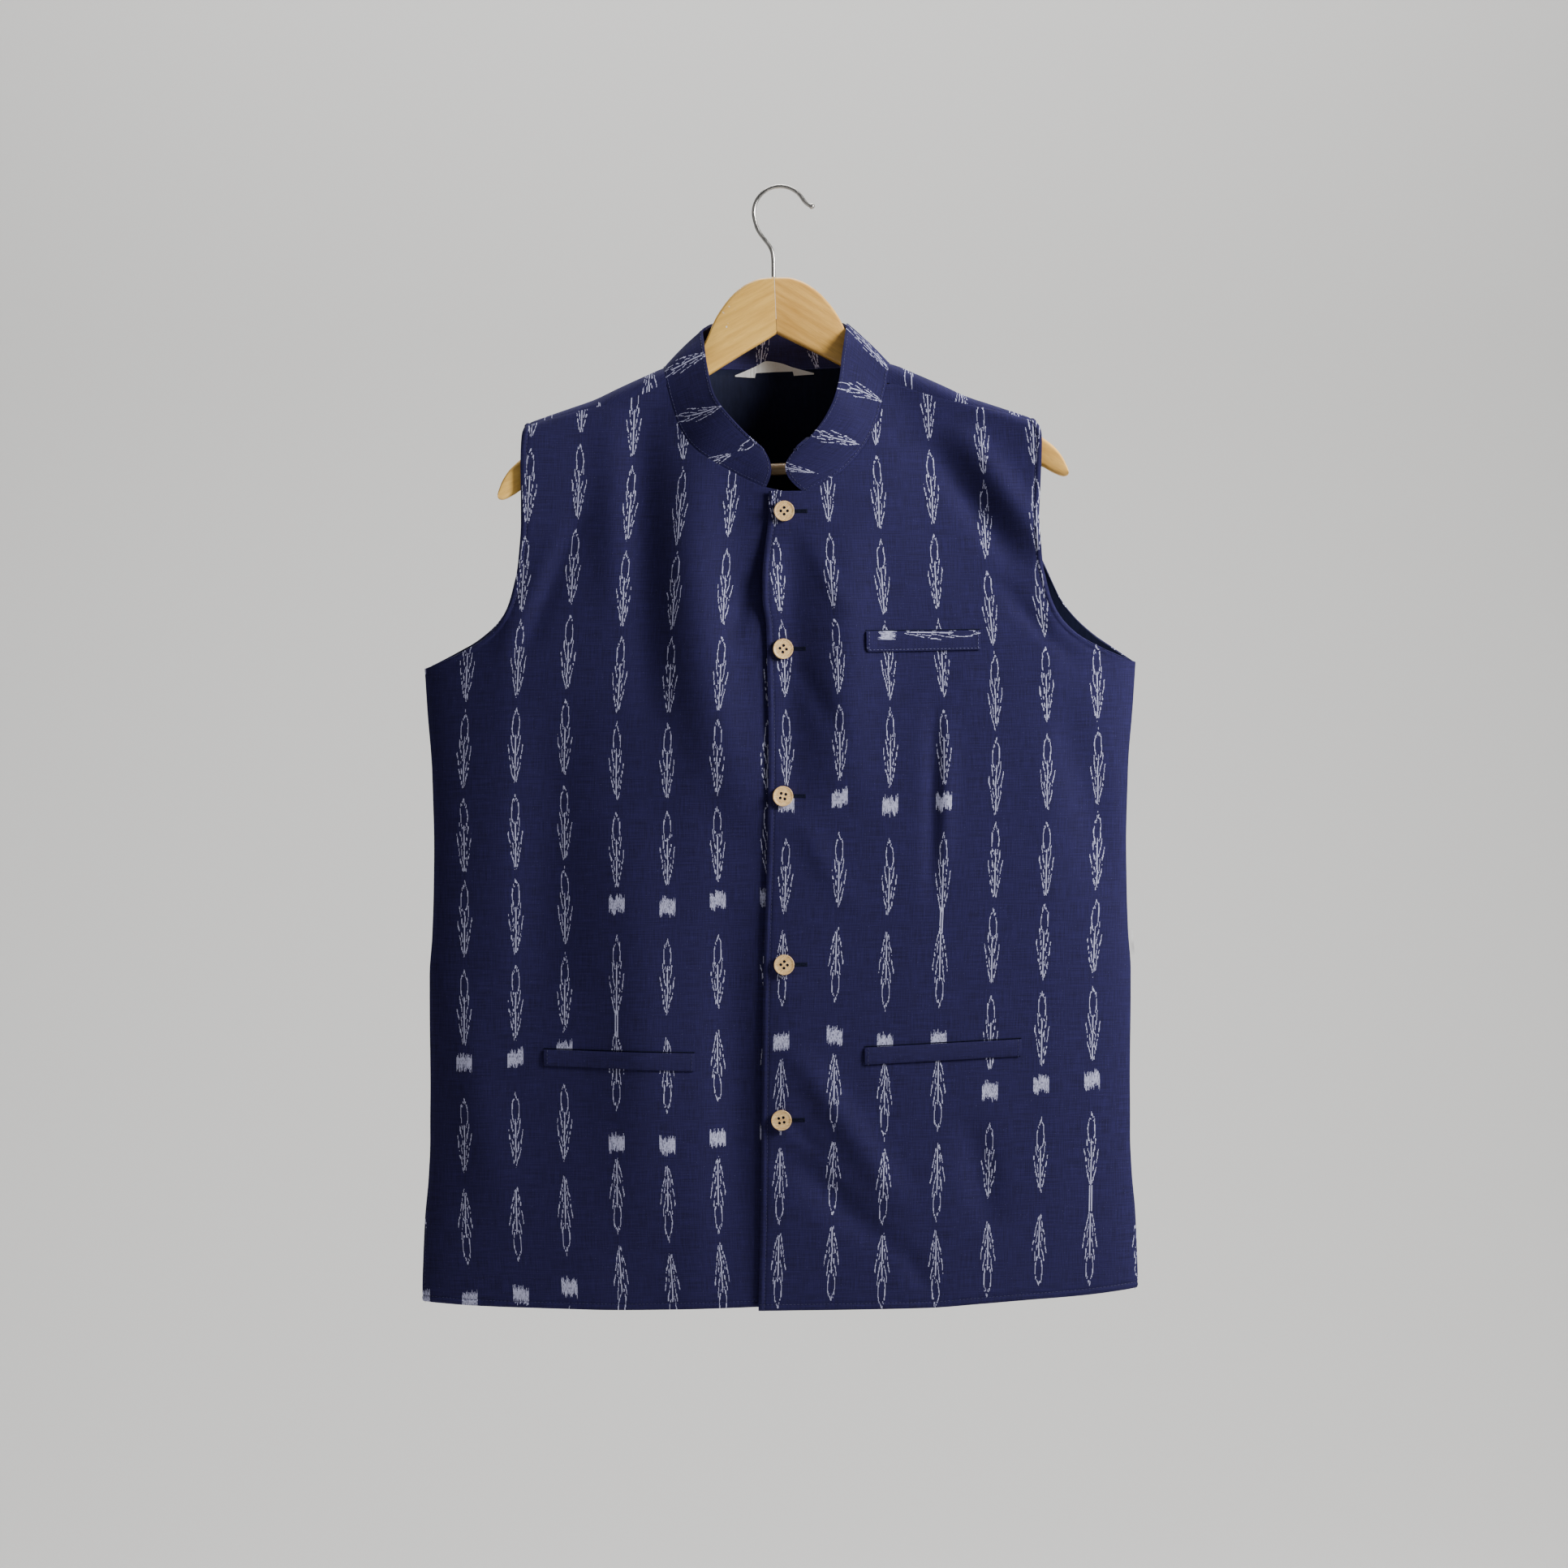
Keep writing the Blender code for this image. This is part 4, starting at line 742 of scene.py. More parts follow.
lining_navy, tree, shader = new_finish("navy_lining_finish", (0.0105, 0.0115, 0.031), 0.62)
place = object_place(tree)
weave = grain(place, 420.0, 4.0, stretch=(1.0, 1.0, 0.25))
tone = weave * 0.5 + grain(place, 14.0, 3.0) * 0.5
colour = blend_of(between(tone, 0.35, 0.65), (0.005, 0.0062, 0.018), (0.0095, 0.0115, 0.033))
wire(colour, shader.inputs["Base Color"])
shader.inputs["Specular IOR Level"].default_value = 0.08
raise_by(shader, weave, 0.3, 0.0002)

FRONT_FOLDS = []
SHOULDER_CELLS = 26
NECK_CELLS = 30
RIDGE_CELLS = 9


def shoulder_outs(neck_out, armhole_out):
    return spread(neck_out, armhole_out, SHOULDER_CELLS, near_end=True)


def back_columns():
    """The back's top edge on the ridge and neckline, left armhole to right armhole as seen."""
    band = Profile(NECK_BACK)
    points = [Vector((-out, ridge(out)))
              for out in reversed(shoulder_outs(NECK_AT_RIDGE - NECK_X, ARMHOLE_AT_RIDGE))]
    for i in range(1, NECK_CELLS):
        out = -NECK_AT_RIDGE * math.cos(math.pi * i / NECK_CELLS)
        x = NECK_X + out
        points.append(Vector((x, max(band(abs(out)), ridge(abs(x)) + 0.05 * MM))))
    points += [Vector((out, ridge(out)))
               for out in shoulder_outs(NECK_AT_RIDGE + NECK_X, ARMHOLE_AT_RIDGE)]
    return points


def seam_columns():
    """The x of each of the back's columns where it meets the shoulder seams in front."""
    right = shoulder_outs(SEAM_AT_NECK * MM - NECK_X, ARMHOLE_AT_SEAM)
    left = shoulder_outs(SEAM_AT_NECK * MM + NECK_X, ARMHOLE_AT_SEAM)
    return [-out for out in reversed(right)] + [0.0] * (NECK_CELLS - 1) + left


def back_rows():
    """Rows of places on the back, from the shoulder seams in front over the ridge to the hem."""
    top = back_columns()
    shoulder = len(shoulder_outs(NECK_AT_RIDGE, ARMHOLE_AT_RIDGE))
    hem = Profile(BACK_HEM)
    start = [top[0]] + side_edge("back_right", -1, hem(-SIDE_AT_HEM), ARMHOLE_TOP)
    end = [top[-1]] + side_edge("back_left", 1, hem(SIDE_AT_HEM), ARMHOLE_TOP)
    bottom = []
    for point in top:
        share = (point.x - top[0].x) / (top[-1].x - top[0].x)
        x = start[-1].x + (end[-1].x - start[-1].x) * share
        bottom.append(Vector((x, hem(x))))
    bottom[0], bottom[-1] = start[-1], end[-1]
    rows = []
    for step in range(RIDGE_CELLS, 0, -1):
        row = []
        for column, (point, seam_x) in enumerate(zip(top, seam_columns())):
            on_shoulder = column < shoulder or column >= len(top) - shoulder
            share = step / RIDGE_CELLS
            x = point.x * (1 - share) + seam_x * share
            fall = share * fall_of(shoulder_seam(abs(x)))
            row.append(Place(garment(x, fall), (x, ridge(abs(x)) - fall)) if on_shoulder else None)
        rows.append(row)
    grid = patch(top, bottom, start, end)
    for r, line in enumerate(grid):
        row = []
        for column, point in enumerate(line):
            on_shoulder = column < shoulder or column >= len(top) - shoulder
            if r == 0 and on_shoulder:
                row.append(Place(garment(point.x, 0.0), (point.x, ridge(abs(point.x)))))
            else:
                row.append(Place(cloth_place(-1, point.x, point.y), (point.x, point.y)))
        rows.append(row)
    return rows, shoulder


rows, shoulder = back_rows()
hem_row = [place.point for place in rows[-1]]
sides = [[row[column].point for row in rows if row[column]] for column in (0, -1)]
back_neck_rim = [row[shoulder - 1] for row in rows[:RIDGE_CELLS]]
back_neck_rim += rows[RIDGE_CELLS][shoulder - 1:len(rows[0]) - shoulder + 1]
back_neck_rim += [row[len(rows[0]) - shoulder] for row in reversed(rows[:RIDGE_CELLS])]
seam_rows = [[place.point for place in rows[0] if place and place.point.x * sign > 0] for sign in (-1, 1)]

lining = lay_cloth("lining", rows)
face_outward(lining)
press_edges(lining, sides + [hem_row], (False, False, False))
normals = [entry.vector.copy() for entry in lining.data.vertex_normals]
for vertex, normal in zip(lining.data.vertices, normals):
    vertex.co -= normal * (BACK_CLOTH + SEAM_GAP)
thicken(lining, LINING_CLOTH)
finish_piece(lining, "back_lining_cloth", [lining_navy, lining_navy], ["back_lining"])


# The back
# One piece of handwoven ikat cotton. It runs over the shoulders to seams a little in front of
# the ridge, is cut in to the armholes, and hangs open at two vents above the hem.
BACK_SPARE = 0.2 * MM     # left free in front of the lining
Phase = namedtuple("Phase", "first_column drop")
LEAF_LENGTH = 57.0        # millimetres from the tip of the loop to the foot of the stem
LEAF_SPREAD = 8.0
LEAF_STEP = 66.0
COLUMN_STEP = 40.0
# Distances along a column, in millimetres from the middle of its first block
LEAF_BEFORE = 44.0        # up to the middle of the last leaf before the block
BLOCK_ROOM = 11.0         # up and down to where the leaves' own stretches end
LEAF_AFTER = 55.0         # down to the middle of the one leaf that follows the block
TIE_START = 81.5          # down to where some columns' leaves are joined by a tied line
MIRROR = 91.5             # down to where the column starts to run backwards
BLOCK_HALF = 6.1
BLOCK_REACH = 5.4         # half its length where no thread is ragged
THREAD = 0.42             # width of one tied bundle of warp threads
BUNDLE = 4.7 * THREAD     # width of the threads that slip together in a block
PICK = 3.2 * THREAD       # length of one dyed fleck in a block
# How far hand tying strays, in millimetres from one end to the other
COLUMN_WANDER = 2.6
COLUMN_SLIP = 9.0
LEAF_SWAY = 5.0
LEAF_RAGGED = 3.4
LEAF_BEND = 1.8
BEND_RATE = 0.09
BLOCK_RAGGED = 4.6
BUNDLE_RAGGED = 3.6
DYED_SHARE = 0.26         # of a block's flecks are dyed, and by how much
DYED_DEPTH = 0.6
UNTIED_SHARE = 0.45       # of the columns have no tied line
TIE_OUT = 0.8
TIE_HALF = 0.38
TWILL_STEP = 0.95
# Each stroke's two ends along the leaf, and how far it stands from the stem at places along it
Stroke = namedtuple("Stroke", "start end width track")
LEAF = [
    Stroke(0.0, 23.0, 0.56, ((0.0, 0.1), (3.0, 0.7), (6.5, 2.2), (13.0, 2.7), (18.0, 2.4), (23.0, 0.8))),
    Stroke(21.0, 56.0, 0.5, ((21.0, 0.1), (40.0, 0.15), (56.0, 0.1))),
    Stroke(19.5, 36.0, 0.5, ((19.5, 3.5), (24.0, 3.2), (30.0, 2.2), (36.0, 1.0))),
    Stroke(28.0, 39.0, 0.52, ((28.0, 5.6), (34.0, 4.8), (39.0, 3.9))),
    Stroke(37.0, 47.0, 0.44, ((37.0, 2.5), (42.0, 1.9), (47.0, 1.2))),
    Stroke(42.0, 56.5, 0.54, ((42.0, 3.9), (48.0, 2.6), (56.5, 0.8))),
]


def chance(key, *more):
    """A steady random number from 0 to 1 for each whole-number address."""
    address = key.tree.nodes.new("ShaderNodeCombineXYZ")
    for part, socket in zip((key, *more), address.inputs):
        wire(part, socket)
    dice = key.tree.nodes.new("ShaderNodeTexWhiteNoise")
    dice.noise_dimensions = "3D"
    wire(Signal(address.outputs[0]), dice.inputs["Vector"])
    return Signal(dice.outputs["Value"])


def leaf_mask(across, along):
    """Where the leaf's strokes are, alike on both sides of the stem."""
    shape = None
    for stroke in LEAF:
        curve = along.tree.nodes.new("ShaderNodeFloatCurve")
        line = curve.mapping.curves[0]
        track = [(place / LEAF_LENGTH, out / LEAF_SPREAD) for place, out in stroke.track]
        line.points[0].location, line.points[1].location = track[0], track[-1]
        for place in track[1:-1]:
            line.points.new(*place)
        curve.mapping.update()
        wire(along / LEAF_LENGTH, curve.inputs["Value"])
        offset = Signal(curve.outputs[0]) * LEAF_SPREAD
        middle, reach = (stroke.start + stroke.end) / 2, (stroke.end - stroke.start) / 2
        drawn = across.math("COMPARE", offset, stroke.width / 2) * along.math("COMPARE", middle, reach)
        shape = drawn if shape is None else shape.math("MAXIMUM", drawn)
    return shape


def ikat_cotton(name, first_column, phases, step=COLUMN_STEP, lean=0.0):
    """Navy cotton whose warp was tied and dyed before weaving.

    Columns of leaves run down the cloth. Each group of columns starts its sequence at its own
    drop: leaves point down to a block, one more follows, and from there all of it is mirrored.
    The plain numbers given to chance only keep its draws apart.
    """
    finish, tree, shader = new_finish(name, (0.02, 0.019, 0.08), 0.8)
    pattern = Signal(tree.nodes.new("ShaderNodeUVMap").outputs[0])
    parts = tree.nodes.new("ShaderNodeSeparateXYZ")
    wire(pattern, parts.inputs[0])
    u = Signal(parts.outputs[0]) * 1000.0
    v = Signal(parts.outputs[1]) * 1000.0
    steps = (u + v * lean - first_column) / step
    column = steps.math("ROUND")
    across = (steps - column) * step - (chance(column, 3.0, 8.0) - 0.5) * COLUMN_WANDER
    start = phases[0].drop
    for before, after in zip(phases, phases[1:]):
        start = (column > after.first_column - 0.5) * (after.drop - before.drop) + start
    run = v - start - (chance(column, 11.0, 2.0) - 0.5) * COLUMN_SLIP
    mirrored = MIRROR - (run - MIRROR).math("ABSOLUTE")
    above_block = mirrored < -BLOCK_ROOM
    repeat = ((mirrored + BLOCK_ROOM) / LEAF_STEP).math("FLOOR")
    wrapped = mirrored.math("WRAP", -BLOCK_ROOM, -BLOCK_ROOM - LEAF_STEP) + LEAF_BEFORE
    local = above_block * wrapped + (1.0 - above_block) * (mirrored - LEAF_AFTER)
    thread = (across / THREAD).math("FLOOR")
    leaf_key = column * 31.0 + repeat
    ragged = chance(thread, leaf_key, (run - MIRROR).math("SIGN")) - 0.5
    sway = (chance(leaf_key, 5.0, across.math("SIGN")) - 0.5) * LEAF_SWAY
    along = local + LEAF_LENGTH / 2 + (ragged * LEAF_RAGGED + sway)
    bend_place = tree.nodes.new("ShaderNodeCombineXYZ")
    wire(column, bend_place.inputs[0])
    wire(v * BEND_RATE, bend_place.inputs[1])
    bend = (grain(Signal(bend_place.outputs[0]), 1.0, 1.0) - 0.5) * LEAF_BEND
    out = ((thread + 0.5) * THREAD + bend).math("ABSOLUTE")
    leaves = leaf_mask(out, along)
    bundle = (across / BUNDLE).math("FLOOR")
    ragged_bundle = chance(bundle, leaf_key, 4.0) - 0.5
    block_place = mirrored + ragged * BLOCK_RAGGED + ragged_bundle * BUNDLE_RAGGED
    block = block_place.math("COMPARE", 0.0, BLOCK_REACH) * across.math("COMPARE", 0.0, BLOCK_HALF)
    dyed = chance(thread, (v / PICK).math("FLOOR"), 7.0) < DYED_SHARE
    block = block * (1.0 - dyed * DYED_DEPTH)
    tied = (mirrored > TIE_START) * (chance(column, 1.0, 1.0) > UNTIED_SHARE)
    tied = tied * out.math("COMPARE", TIE_OUT, TIE_HALF)
    undyed = leaves.math("MAXIMUM", block).math("MAXIMUM", tied)

    warp = grain(pattern, 1.0, 3.0, stretch=(1500.0, 60.0, 1.0))
    weft = grain(pattern, 1.0, 3.0, stretch=(50.0, 1300.0, 1.0))
    twill = ((u + v) * (2 * math.pi / TWILL_STEP)).math("SINE")
    slubs = grain(pattern, 1.0, 2.0, stretch=(900.0, 900.0, 1.0))
    drift = grain(pattern, 1.0, 2.0, stretch=(16.0, 9.0, 1.0))
    weave = warp * 0.5 + weft * 0.5
    navy = blend_of(between(weave, 0.36, 0.64), (0.0078, 0.0063, 0.034), (0.0185, 0.0148, 0.082))
    navy = blend_of(between(drift, 0.3, 0.7, 0.0, 0.3), navy, (0.0135, 0.011, 0.06))
    navy = blend_of(between(slubs, 0.66, 0.76, 0.0, 0.5), navy, (0.075, 0.075, 0.2))
    worn = undyed * between(weave, 0.3, 0.5, 0.55, 1.0)
    wire(blend_of(worn, navy, (0.47, 0.47, 0.66)), shader.inputs["Base Color"])
    shader.inputs["Specular IOR Level"].default_value = 0.2
    shader.inputs["Sheen Weight"].default_value = 0.08
    shader.inputs["Sheen Roughness"].default_value = 0.4
    shader.inputs["Sheen Tint"].default_value = (0.4, 0.4, 0.95, 1.0)
    raise_by(shader, weave + twill * 0.16, 0.55, 0.00035)
    return finish


def surface_tree(piece):
    """A piece's surface as it is now, to lay other pieces on."""
    data = piece.data
    return BVHTree.FromPolygons([vertex.co.copy() for vertex in data.vertices],
                                [tuple(face.vertices) for face in data.polygons])


back_cotton = ikat_cotton("back_ikat", 20.0, [Phase(-9, 560.0), Phase(-2, 470.0),
                                              Phase(1, 640.0), Phase(4, 540.0)])
back_grid = rows
back = lay_cloth("back_panel", rows)
face_outward(back)
press_edges(back, sides + [hem_row] + seam_rows, (True, True, True, False, False))
surfaces = {"back": surface_tree(back)}
thicken(back, BACK_CLOTH - BACK_SPARE)
finish_piece(back, "back_panel_cloth", [back_cotton, lining_navy], ["back"])


# The fronts
# Two panels of the same cotton, each lined, that meet the back at the shoulders and sides. The
# wearer's left one laps over the right one and carries the buttonholes along its edge.
FRONT_CLOTH = 1.4 * MM
FRONT_FOLDS += [
    Fold(165.0, 330.0, -129.0, -129.0, -129.0, 15.0, 2.5),
    Fold(165.0, 417.0, -105.6, -103.5, -100.6, 14.0, -2.5),
    Fold(190.0, 500.0, -66.0, -62.0, -20.0, 26.0, 6.5),
    Fold(386.0, 667.0, -176.0, -182.0, -190.0, 30.0, -4.0),
    Fold(479.0, 817.0, -113.0, -106.0, -100.6, 30.0, 4.0),
    Fold(542.0, 854.0, -38.0, -35.0, -33.0, 20.0, -3.0),
    Fold(604.0, 792.0, -252.0, -236.0, -219.0, 20.0, 3.0),
    Fold(254.0, 479.0, 8.8, 8.8, 8.8, 16.0, -2.5),
    Fold(254.0, 479.0, 49.4, 49.4, 49.4, 22.0, 3.5),
    Fold(190.0, 300.0, 112.0, 150.0, 188.0, 13.0, -3.0),
    Fold(180.0, 285.0, 136.0, 172.0, 206.0, 14.0, 4.0),
    Fold(386.0, 554.0, 212.0, 238.0, 256.0, 18.0, -3.0),
    Fold(655.0, 790.0, 5.0, 52.0, 96.0, 14.0, 3.5),
    Fold(735.0, 825.0, 2.0, 45.0, 92.0, 16.0, -3.0),
    Fold(713.0, 806.0, 145.0, 154.0, 164.0, 13.0, -3.0),
    Fold(392.0, 556.0, 118.0, 118.0, 116.0, 6.0, -2.0),
    Fold(400.0, 540.0, 128.0, 127.0, 124.0, 7.0, 1.6),
    Fold(715.0, 745.0, 6.0, 20.0, 34.0, 4.0, -1.4),
    Fold(815.0, 850.0, 92.0, 104.0, 114.0, 8.0, -1.8),
    Fold(300.0, 352.0, -22.0, -30.0, -40.0, 6.0, -1.4),
    Fold(262.0, 330.0, 20.0, 34.0, 52.0, 8.0, 1.2),
    Fold(360.0, 430.0, 14.0, 30.0, 52.0, 8.0, -1.1),
    Fold(480.0, 560.0, 14.0, 34.0, 62.0, 9.0, 1.2),
    Fold(240.0, 360.0, -150.0, -176.0, -196.0, 9.0, -1.6),
    Fold(250.0, 372.0, -164.0, -190.0, -222.0, 9.0, 1.5),
    Fold(300.0, 372.0, 168.0, 196.0, 232.0, 9.0, -1.4),
]
# Neckline seams: outwards from NECK_X and the drop, then the collar's top edge over each place
NECK_RIGHT = [
    BandRow(8.6, 229.6, 10.2, 199.6, -37.0), BandRow(24.7, 222.0, 21.6, 189.8, -37.5),
    BandRow(43.75, 211.6, 35.0, 175.6, -36.5), BandRow(62.8, 198.7, 43.8, 164.6, -33.5),
    BandRow(74.0, 182.7, 49.2, 153.8, -28.5), BandRow(82.2, 158.5, 54.2, 130.6, -20.0),
    BandRow(84.5, 149.5, 55.8, 119.0, -15.0), BandRow(88.0, 133.4, 57.6, 104.6, -5.0),
]
NECK_LEFT = [
    BandRow(21.6, 233.0, 16.9, 199.7, -38.0), BandRow(35.9, 226.6, 29.7, 187.1, -37.5),
    BandRow(51.9, 215.9, 38.0, 175.1, -36.0), BandRow(67.8, 196.9, 45.0, 159.8, -33.0),
    BandRow(77.2, 177.6, 48.7, 144.5, -27.0), BandRow(82.2, 158.7, 50.8, 126.0, -20.0),
    BandRow(84.5, 149.5, 52.6, 114.4, -15.0), BandRow(88.0, 133.4, 54.6, 100.5, -5.0),
]
PlacketRow = namedtuple("PlacketRow", "drop x")
OVER_EDGE = [
    PlacketRow(233.0, -8.75), PlacketRow(254.0, -9.1), PlacketRow(276.0, -11.6),
    PlacketRow(297.5, -13.4), PlacketRow(316.0, -13.4), PlacketRow(335.6, -10.6),
    PlacketRow(379.0, -9.6), PlacketRow(423.0, -8.75), PlacketRow(510.6, -10.0),
    PlacketRow(567.0, -11.9), PlacketRow(667.0, -14.0), PlacketRow(785.6, -15.0),
    PlacketRow(863.0, -16.7),
]
UNDER_EDGE = [PlacketRow(236.0, 20.0), PlacketRow(540.0, 18.0), PlacketRow(863.0, 15.0)]
UNDER_TOP = ((20.0, 237.0), (6.0, 236.0), (-7.0, 234.8))
OVER_TOP = ((-8.75, 233.0), (18.8, 233.0))
TUCK = 3.4 * MM
TUCK_START = -25.0 * MM
TUCK_END = -72.0 * MM
LIFT = 5.0 * MM           # the over front's edge stands forward between the first buttons
LIFT_DROP = 302.0 * MM
LIFT_HALF = 24.0 * MM
LIFT_REACH = 26.0 * MM
LIFT_EDGE = -14.0 * MM
OVER_HEM = [
    HemRow(-17.0, 862.6), HemRow(60.0, 862.5), HemRow(112.0, 862.2), HemRow(156.0, 859.8),
    HemRow(194.0, 857.4), HemRow(232.0, 855.2), HemRow(278.0, 850.8),
]
UNDER_HEM = [
    HemRow(-278.0, 856.0), HemRow(-257.0, 857.2), HemRow(-238.0, 858.4), HemRow(-182.0, 860.2),
    HemRow(-120.0, 861.6), HemRow(-50.0, 860.8), HemRow(16.0, 859.0),
]
FRONT_NECK_CELLS = 26
LEAD_CELLS = 7
# How far the columns of leaves are carried sideways by the drape, at each drop
DriftRow = namedtuple("DriftRow", "drop x")
UNDER_DRIFT = Profile([
    DriftRow(150.0, -13.5), DriftRow(229.0, -10.6), DriftRow(298.0, -6.0), DriftRow(367.0, -2.4),
    DriftRow(417.0, -0.3), DriftRow(451.0, 0.5), DriftRow(548.0, 0.0), DriftRow(667.0, 0.3),
    DriftRow(754.0, 0.0), DriftRow(800.0, -0.8), DriftRow(848.0, -4.0),
])
OVER_DRIFT = Profile([
    DriftRow(150.0, 9.5), DriftRow(224.0, 6.6), DriftRow(292.0, 4.0), DriftRow(322.0, 2.2),
    DriftRow(361.0, -1.2), DriftRow(439.0, -3.0), DriftRow(531.0, -2.2), DriftRow(590.0, 0.0),
    DriftRow(667.0, 1.2), DriftRow(760.0, 2.2), DriftRow(829.0, 3.4), DriftRow(860.0, 4.0),
])


def tuck(x, drop):
    """The under front drops behind the over front towards the middle."""
    return -TUCK * ease((x - TUCK_END) / (TUCK_START - TUCK_END))


def lift(x, drop):
    """The over front's edge stands away from the under front between two buttons."""
    along = (drop - LIFT_DROP) / LIFT_HALF
    return LIFT * math.exp(-along * along) * (1 - ease((x - LIFT_EDGE) / LIFT_REACH))


def neckline(rows, cells):
    """Points along a neckline table at even steps of its length, up to the shoulder seam."""
    lengths = [0.0]
    for before, after in zip(rows, rows[1:]):
        lengths.append(lengths[-1] + math.hypot(after.out - before.out, after.drop - before.drop))
    track = Profile([(length,) + tuple(row) for length, row in zip(lengths, rows)])
    return [BandRow(*track.row(lengths[-1] * MM * i / cells)) for i in range(cells + 1)]


def front_rows(sign, edge_name, neck_rows, lead_in, edge_rows, hem_rows, extra, drift):
    """Rows of places on one front, and where along its top edge the neckline starts."""
    neck = neckline([row for row in neck_rows if row.out <= SEAM_AT_NECK], FRONT_NECK_CELLS)
    start_x = NECK_X + sign * neck[0].out
    first, last = Vector(lead_in[0]) * MM, Vector((start_x, neck[0].drop))
    top = []
    for x in spread(first.x, start_x, LEAD_CELLS, near_start=True)[:-1]:
        share = (x - first.x) / (last.x - first.x)
        top.append(Vector((x, first.y + (last.y - first.y) * share)))
    lead = len(top)
    top += [Vector((NECK_X + sign * row.out, row.drop)) for row in neck]
    for out in shoulder_outs(abs(top[-1].x), ARMHOLE_AT_SEAM)[1:]:
        top.append(Vector((sign * out, ridge(out) + shoulder_seam(out))))
    hem, edge = Profile(hem_rows), Profile(edge_rows)
    side_hem = hem(sign * SIDE_AT_HEM)
    foot = hem(edge(edge.keys[-1]))
    end = [top[-1]] + side_edge(edge_name, sign, side_hem, top[-1].y)
    height = end[-1].y - end[0].y
    start = []
    for point in end:
        drop = top[0].y + (foot - top[0].y) * (point.y - end[0].y) / height
        start.append(Vector((edge(drop), drop)))
    start[0] = top[0]
    inner = spread(start[-1].x, end[-1].x, len(top) - 2 * len(EDGE_STEPS) + 1, True, True)
    bottom = [Vector((x, hem(x))) for x in inner]
    bottom[0], bottom[-1] = start[-1], end[-1]
    rows = []
    for line in patch(top, bottom, start, end):
        rows.append([Place(cloth_place(1, point.x, point.y, extra), (point.x + drift(point.y), point.y))
                     for point in line])
    return rows, lead


def outline(rows):
    """A grid's four edges: top, bottom, start and end."""
    return [[place.point for place in rows[0]], [place.point for place in rows[-1]],
            [row[0].point for row in rows], [row[-1].point for row in rows]]


over_rows, over_lead = front_rows(1, "front_left", NECK_LEFT, OVER_TOP, OVER_EDGE, OVER_HEM,
                                  lift, OVER_DRIFT)
under_rows, under_lead = front_rows(-1, "front_right", NECK_RIGHT, UNDER_TOP, UNDER_EDGE, UNDER_HEM,
                                    tuck, UNDER_DRIFT)
over_cotton = ikat_cotton("left_front_ikat", 2.5, [Phase(0, 471.0), Phase(4, 692.0)])
under_cotton = ikat_cotton("right_front_ikat", -243.0,
                           [Phase(0, 669.0), Phase(2, 657.0), Phase(3, 547.5)], step=39.0)
for side, rows, cotton in (("left", over_rows, over_cotton), ("right", under_rows, under_cotton)):
    front = lay_cloth(side + "_front", rows)
    face_outward(front)
    press_edges(front, outline(rows), (False, True, True, True))
    surfaces[side] = surface_tree(front)
    thicken(front, FRONT_CLOTH)
    finish_piece(front, side + "_front_cloth", [cotton, lining_navy], ["front_" + side])


# The stand collar
# A band of the same cotton, stiff with interfacing, that is sewn to the whole neckline. Its two
# ends are rounded and face each other above the first button.
COLLAR_CLOTH = 1.9 * MM
COLLAR_INSET = 2.6 * MM   # how far inside the band's edges its topstitching runs
COLLAR_TURN = 1.2 * MM    # how far the band goes down inside the neckline
COLLAR_HEIGHT = 38.0 * MM
COLLAR_BELLY = 0.9 * MM
NOSE_RIGHT = 5.5 * MM     # how far the rounded ends swell towards each other
NOSE_LEFT = 12.5 * MM
NOSE_COLUMNS = 15
COLLAR_CELLS = 7
# Which column of leaves crosses the band at places along it, and how far it tilts from square
GrainRow = namedtuple("GrainRow", "along column tilt")
COLLAR_GRAIN = [
    GrainRow(0.0, -4.65, 44.0), GrainRow(26.0, -4.0, 42.0), GrainRow(69.0, -3.0, 35.0),
    GrainRow(111.0, -2.0, 20.0), GrainRow(156.0, -1.0, 6.0), GrainRow(203.0, 0.0, 0.0),
    GrainRow(240.0, 1.0, 2.0), GrainRow(275.0, 2.0, 10.0), GrainRow(306.0, 3.0, 7.0),
    GrainRow(344.0, 4.0, -28.0), GrainRow(387.0, 5.0, -42.0), GrainRow(423.0, 6.0, -52.0),
    GrainRow(470.0, 7.3, -52.0),
]


def collar_tops():
    """The band's top edge, one point for each column of the neckline."""
    def corner(row, sign):
        return Vector((NECK_X + sign * row.top_out, row.top_y,
                       ROLL * sign * row.top_out - row.top_drop - TAPE_ZERO))

    def front(rows, sign):
        inner = [row for row in rows if row.out <= SEAM_AT_NECK]
        edge = [corner(row, sign) for row in neckline(inner, FRONT_NECK_CELLS)]
        past = [corner(row, sign) for row in neckline(rows[len(inner) - 1:], RIDGE_CELLS)]
        return edge, past[1:]

    right_front, right_side = front(NECK_RIGHT, -1)
    left_front, left_side = front(NECK_LEFT, 1)
    back_track = Profile(NECK_BACK)
    middle = []
    for i in range(1, NECK_CELLS):
        out = -NECK_AT_RIDGE * math.cos(math.pi * i / NECK_CELLS)
        middle.append(corner(BandRow(abs(out), *back_track.row(abs(out))), math.copysign(1, out)))
    return right_front + right_side + middle + left_side[::-1] + left_front[::-1]


def nose(height, column, last):
    swell = max(math.sin(math.pi * height), 0.0)
    from_right = max(1 - column / NOSE_COLUMNS, 0.0) ** 1.5
    from_left = max(1 - (last - column) / NOSE_COLUMNS, 0.0) ** 1.5
    return Vector((NOSE_RIGHT * swell * from_right - NOSE_LEFT * swell ** 0.85 * from_left, 0.0, 0.0))


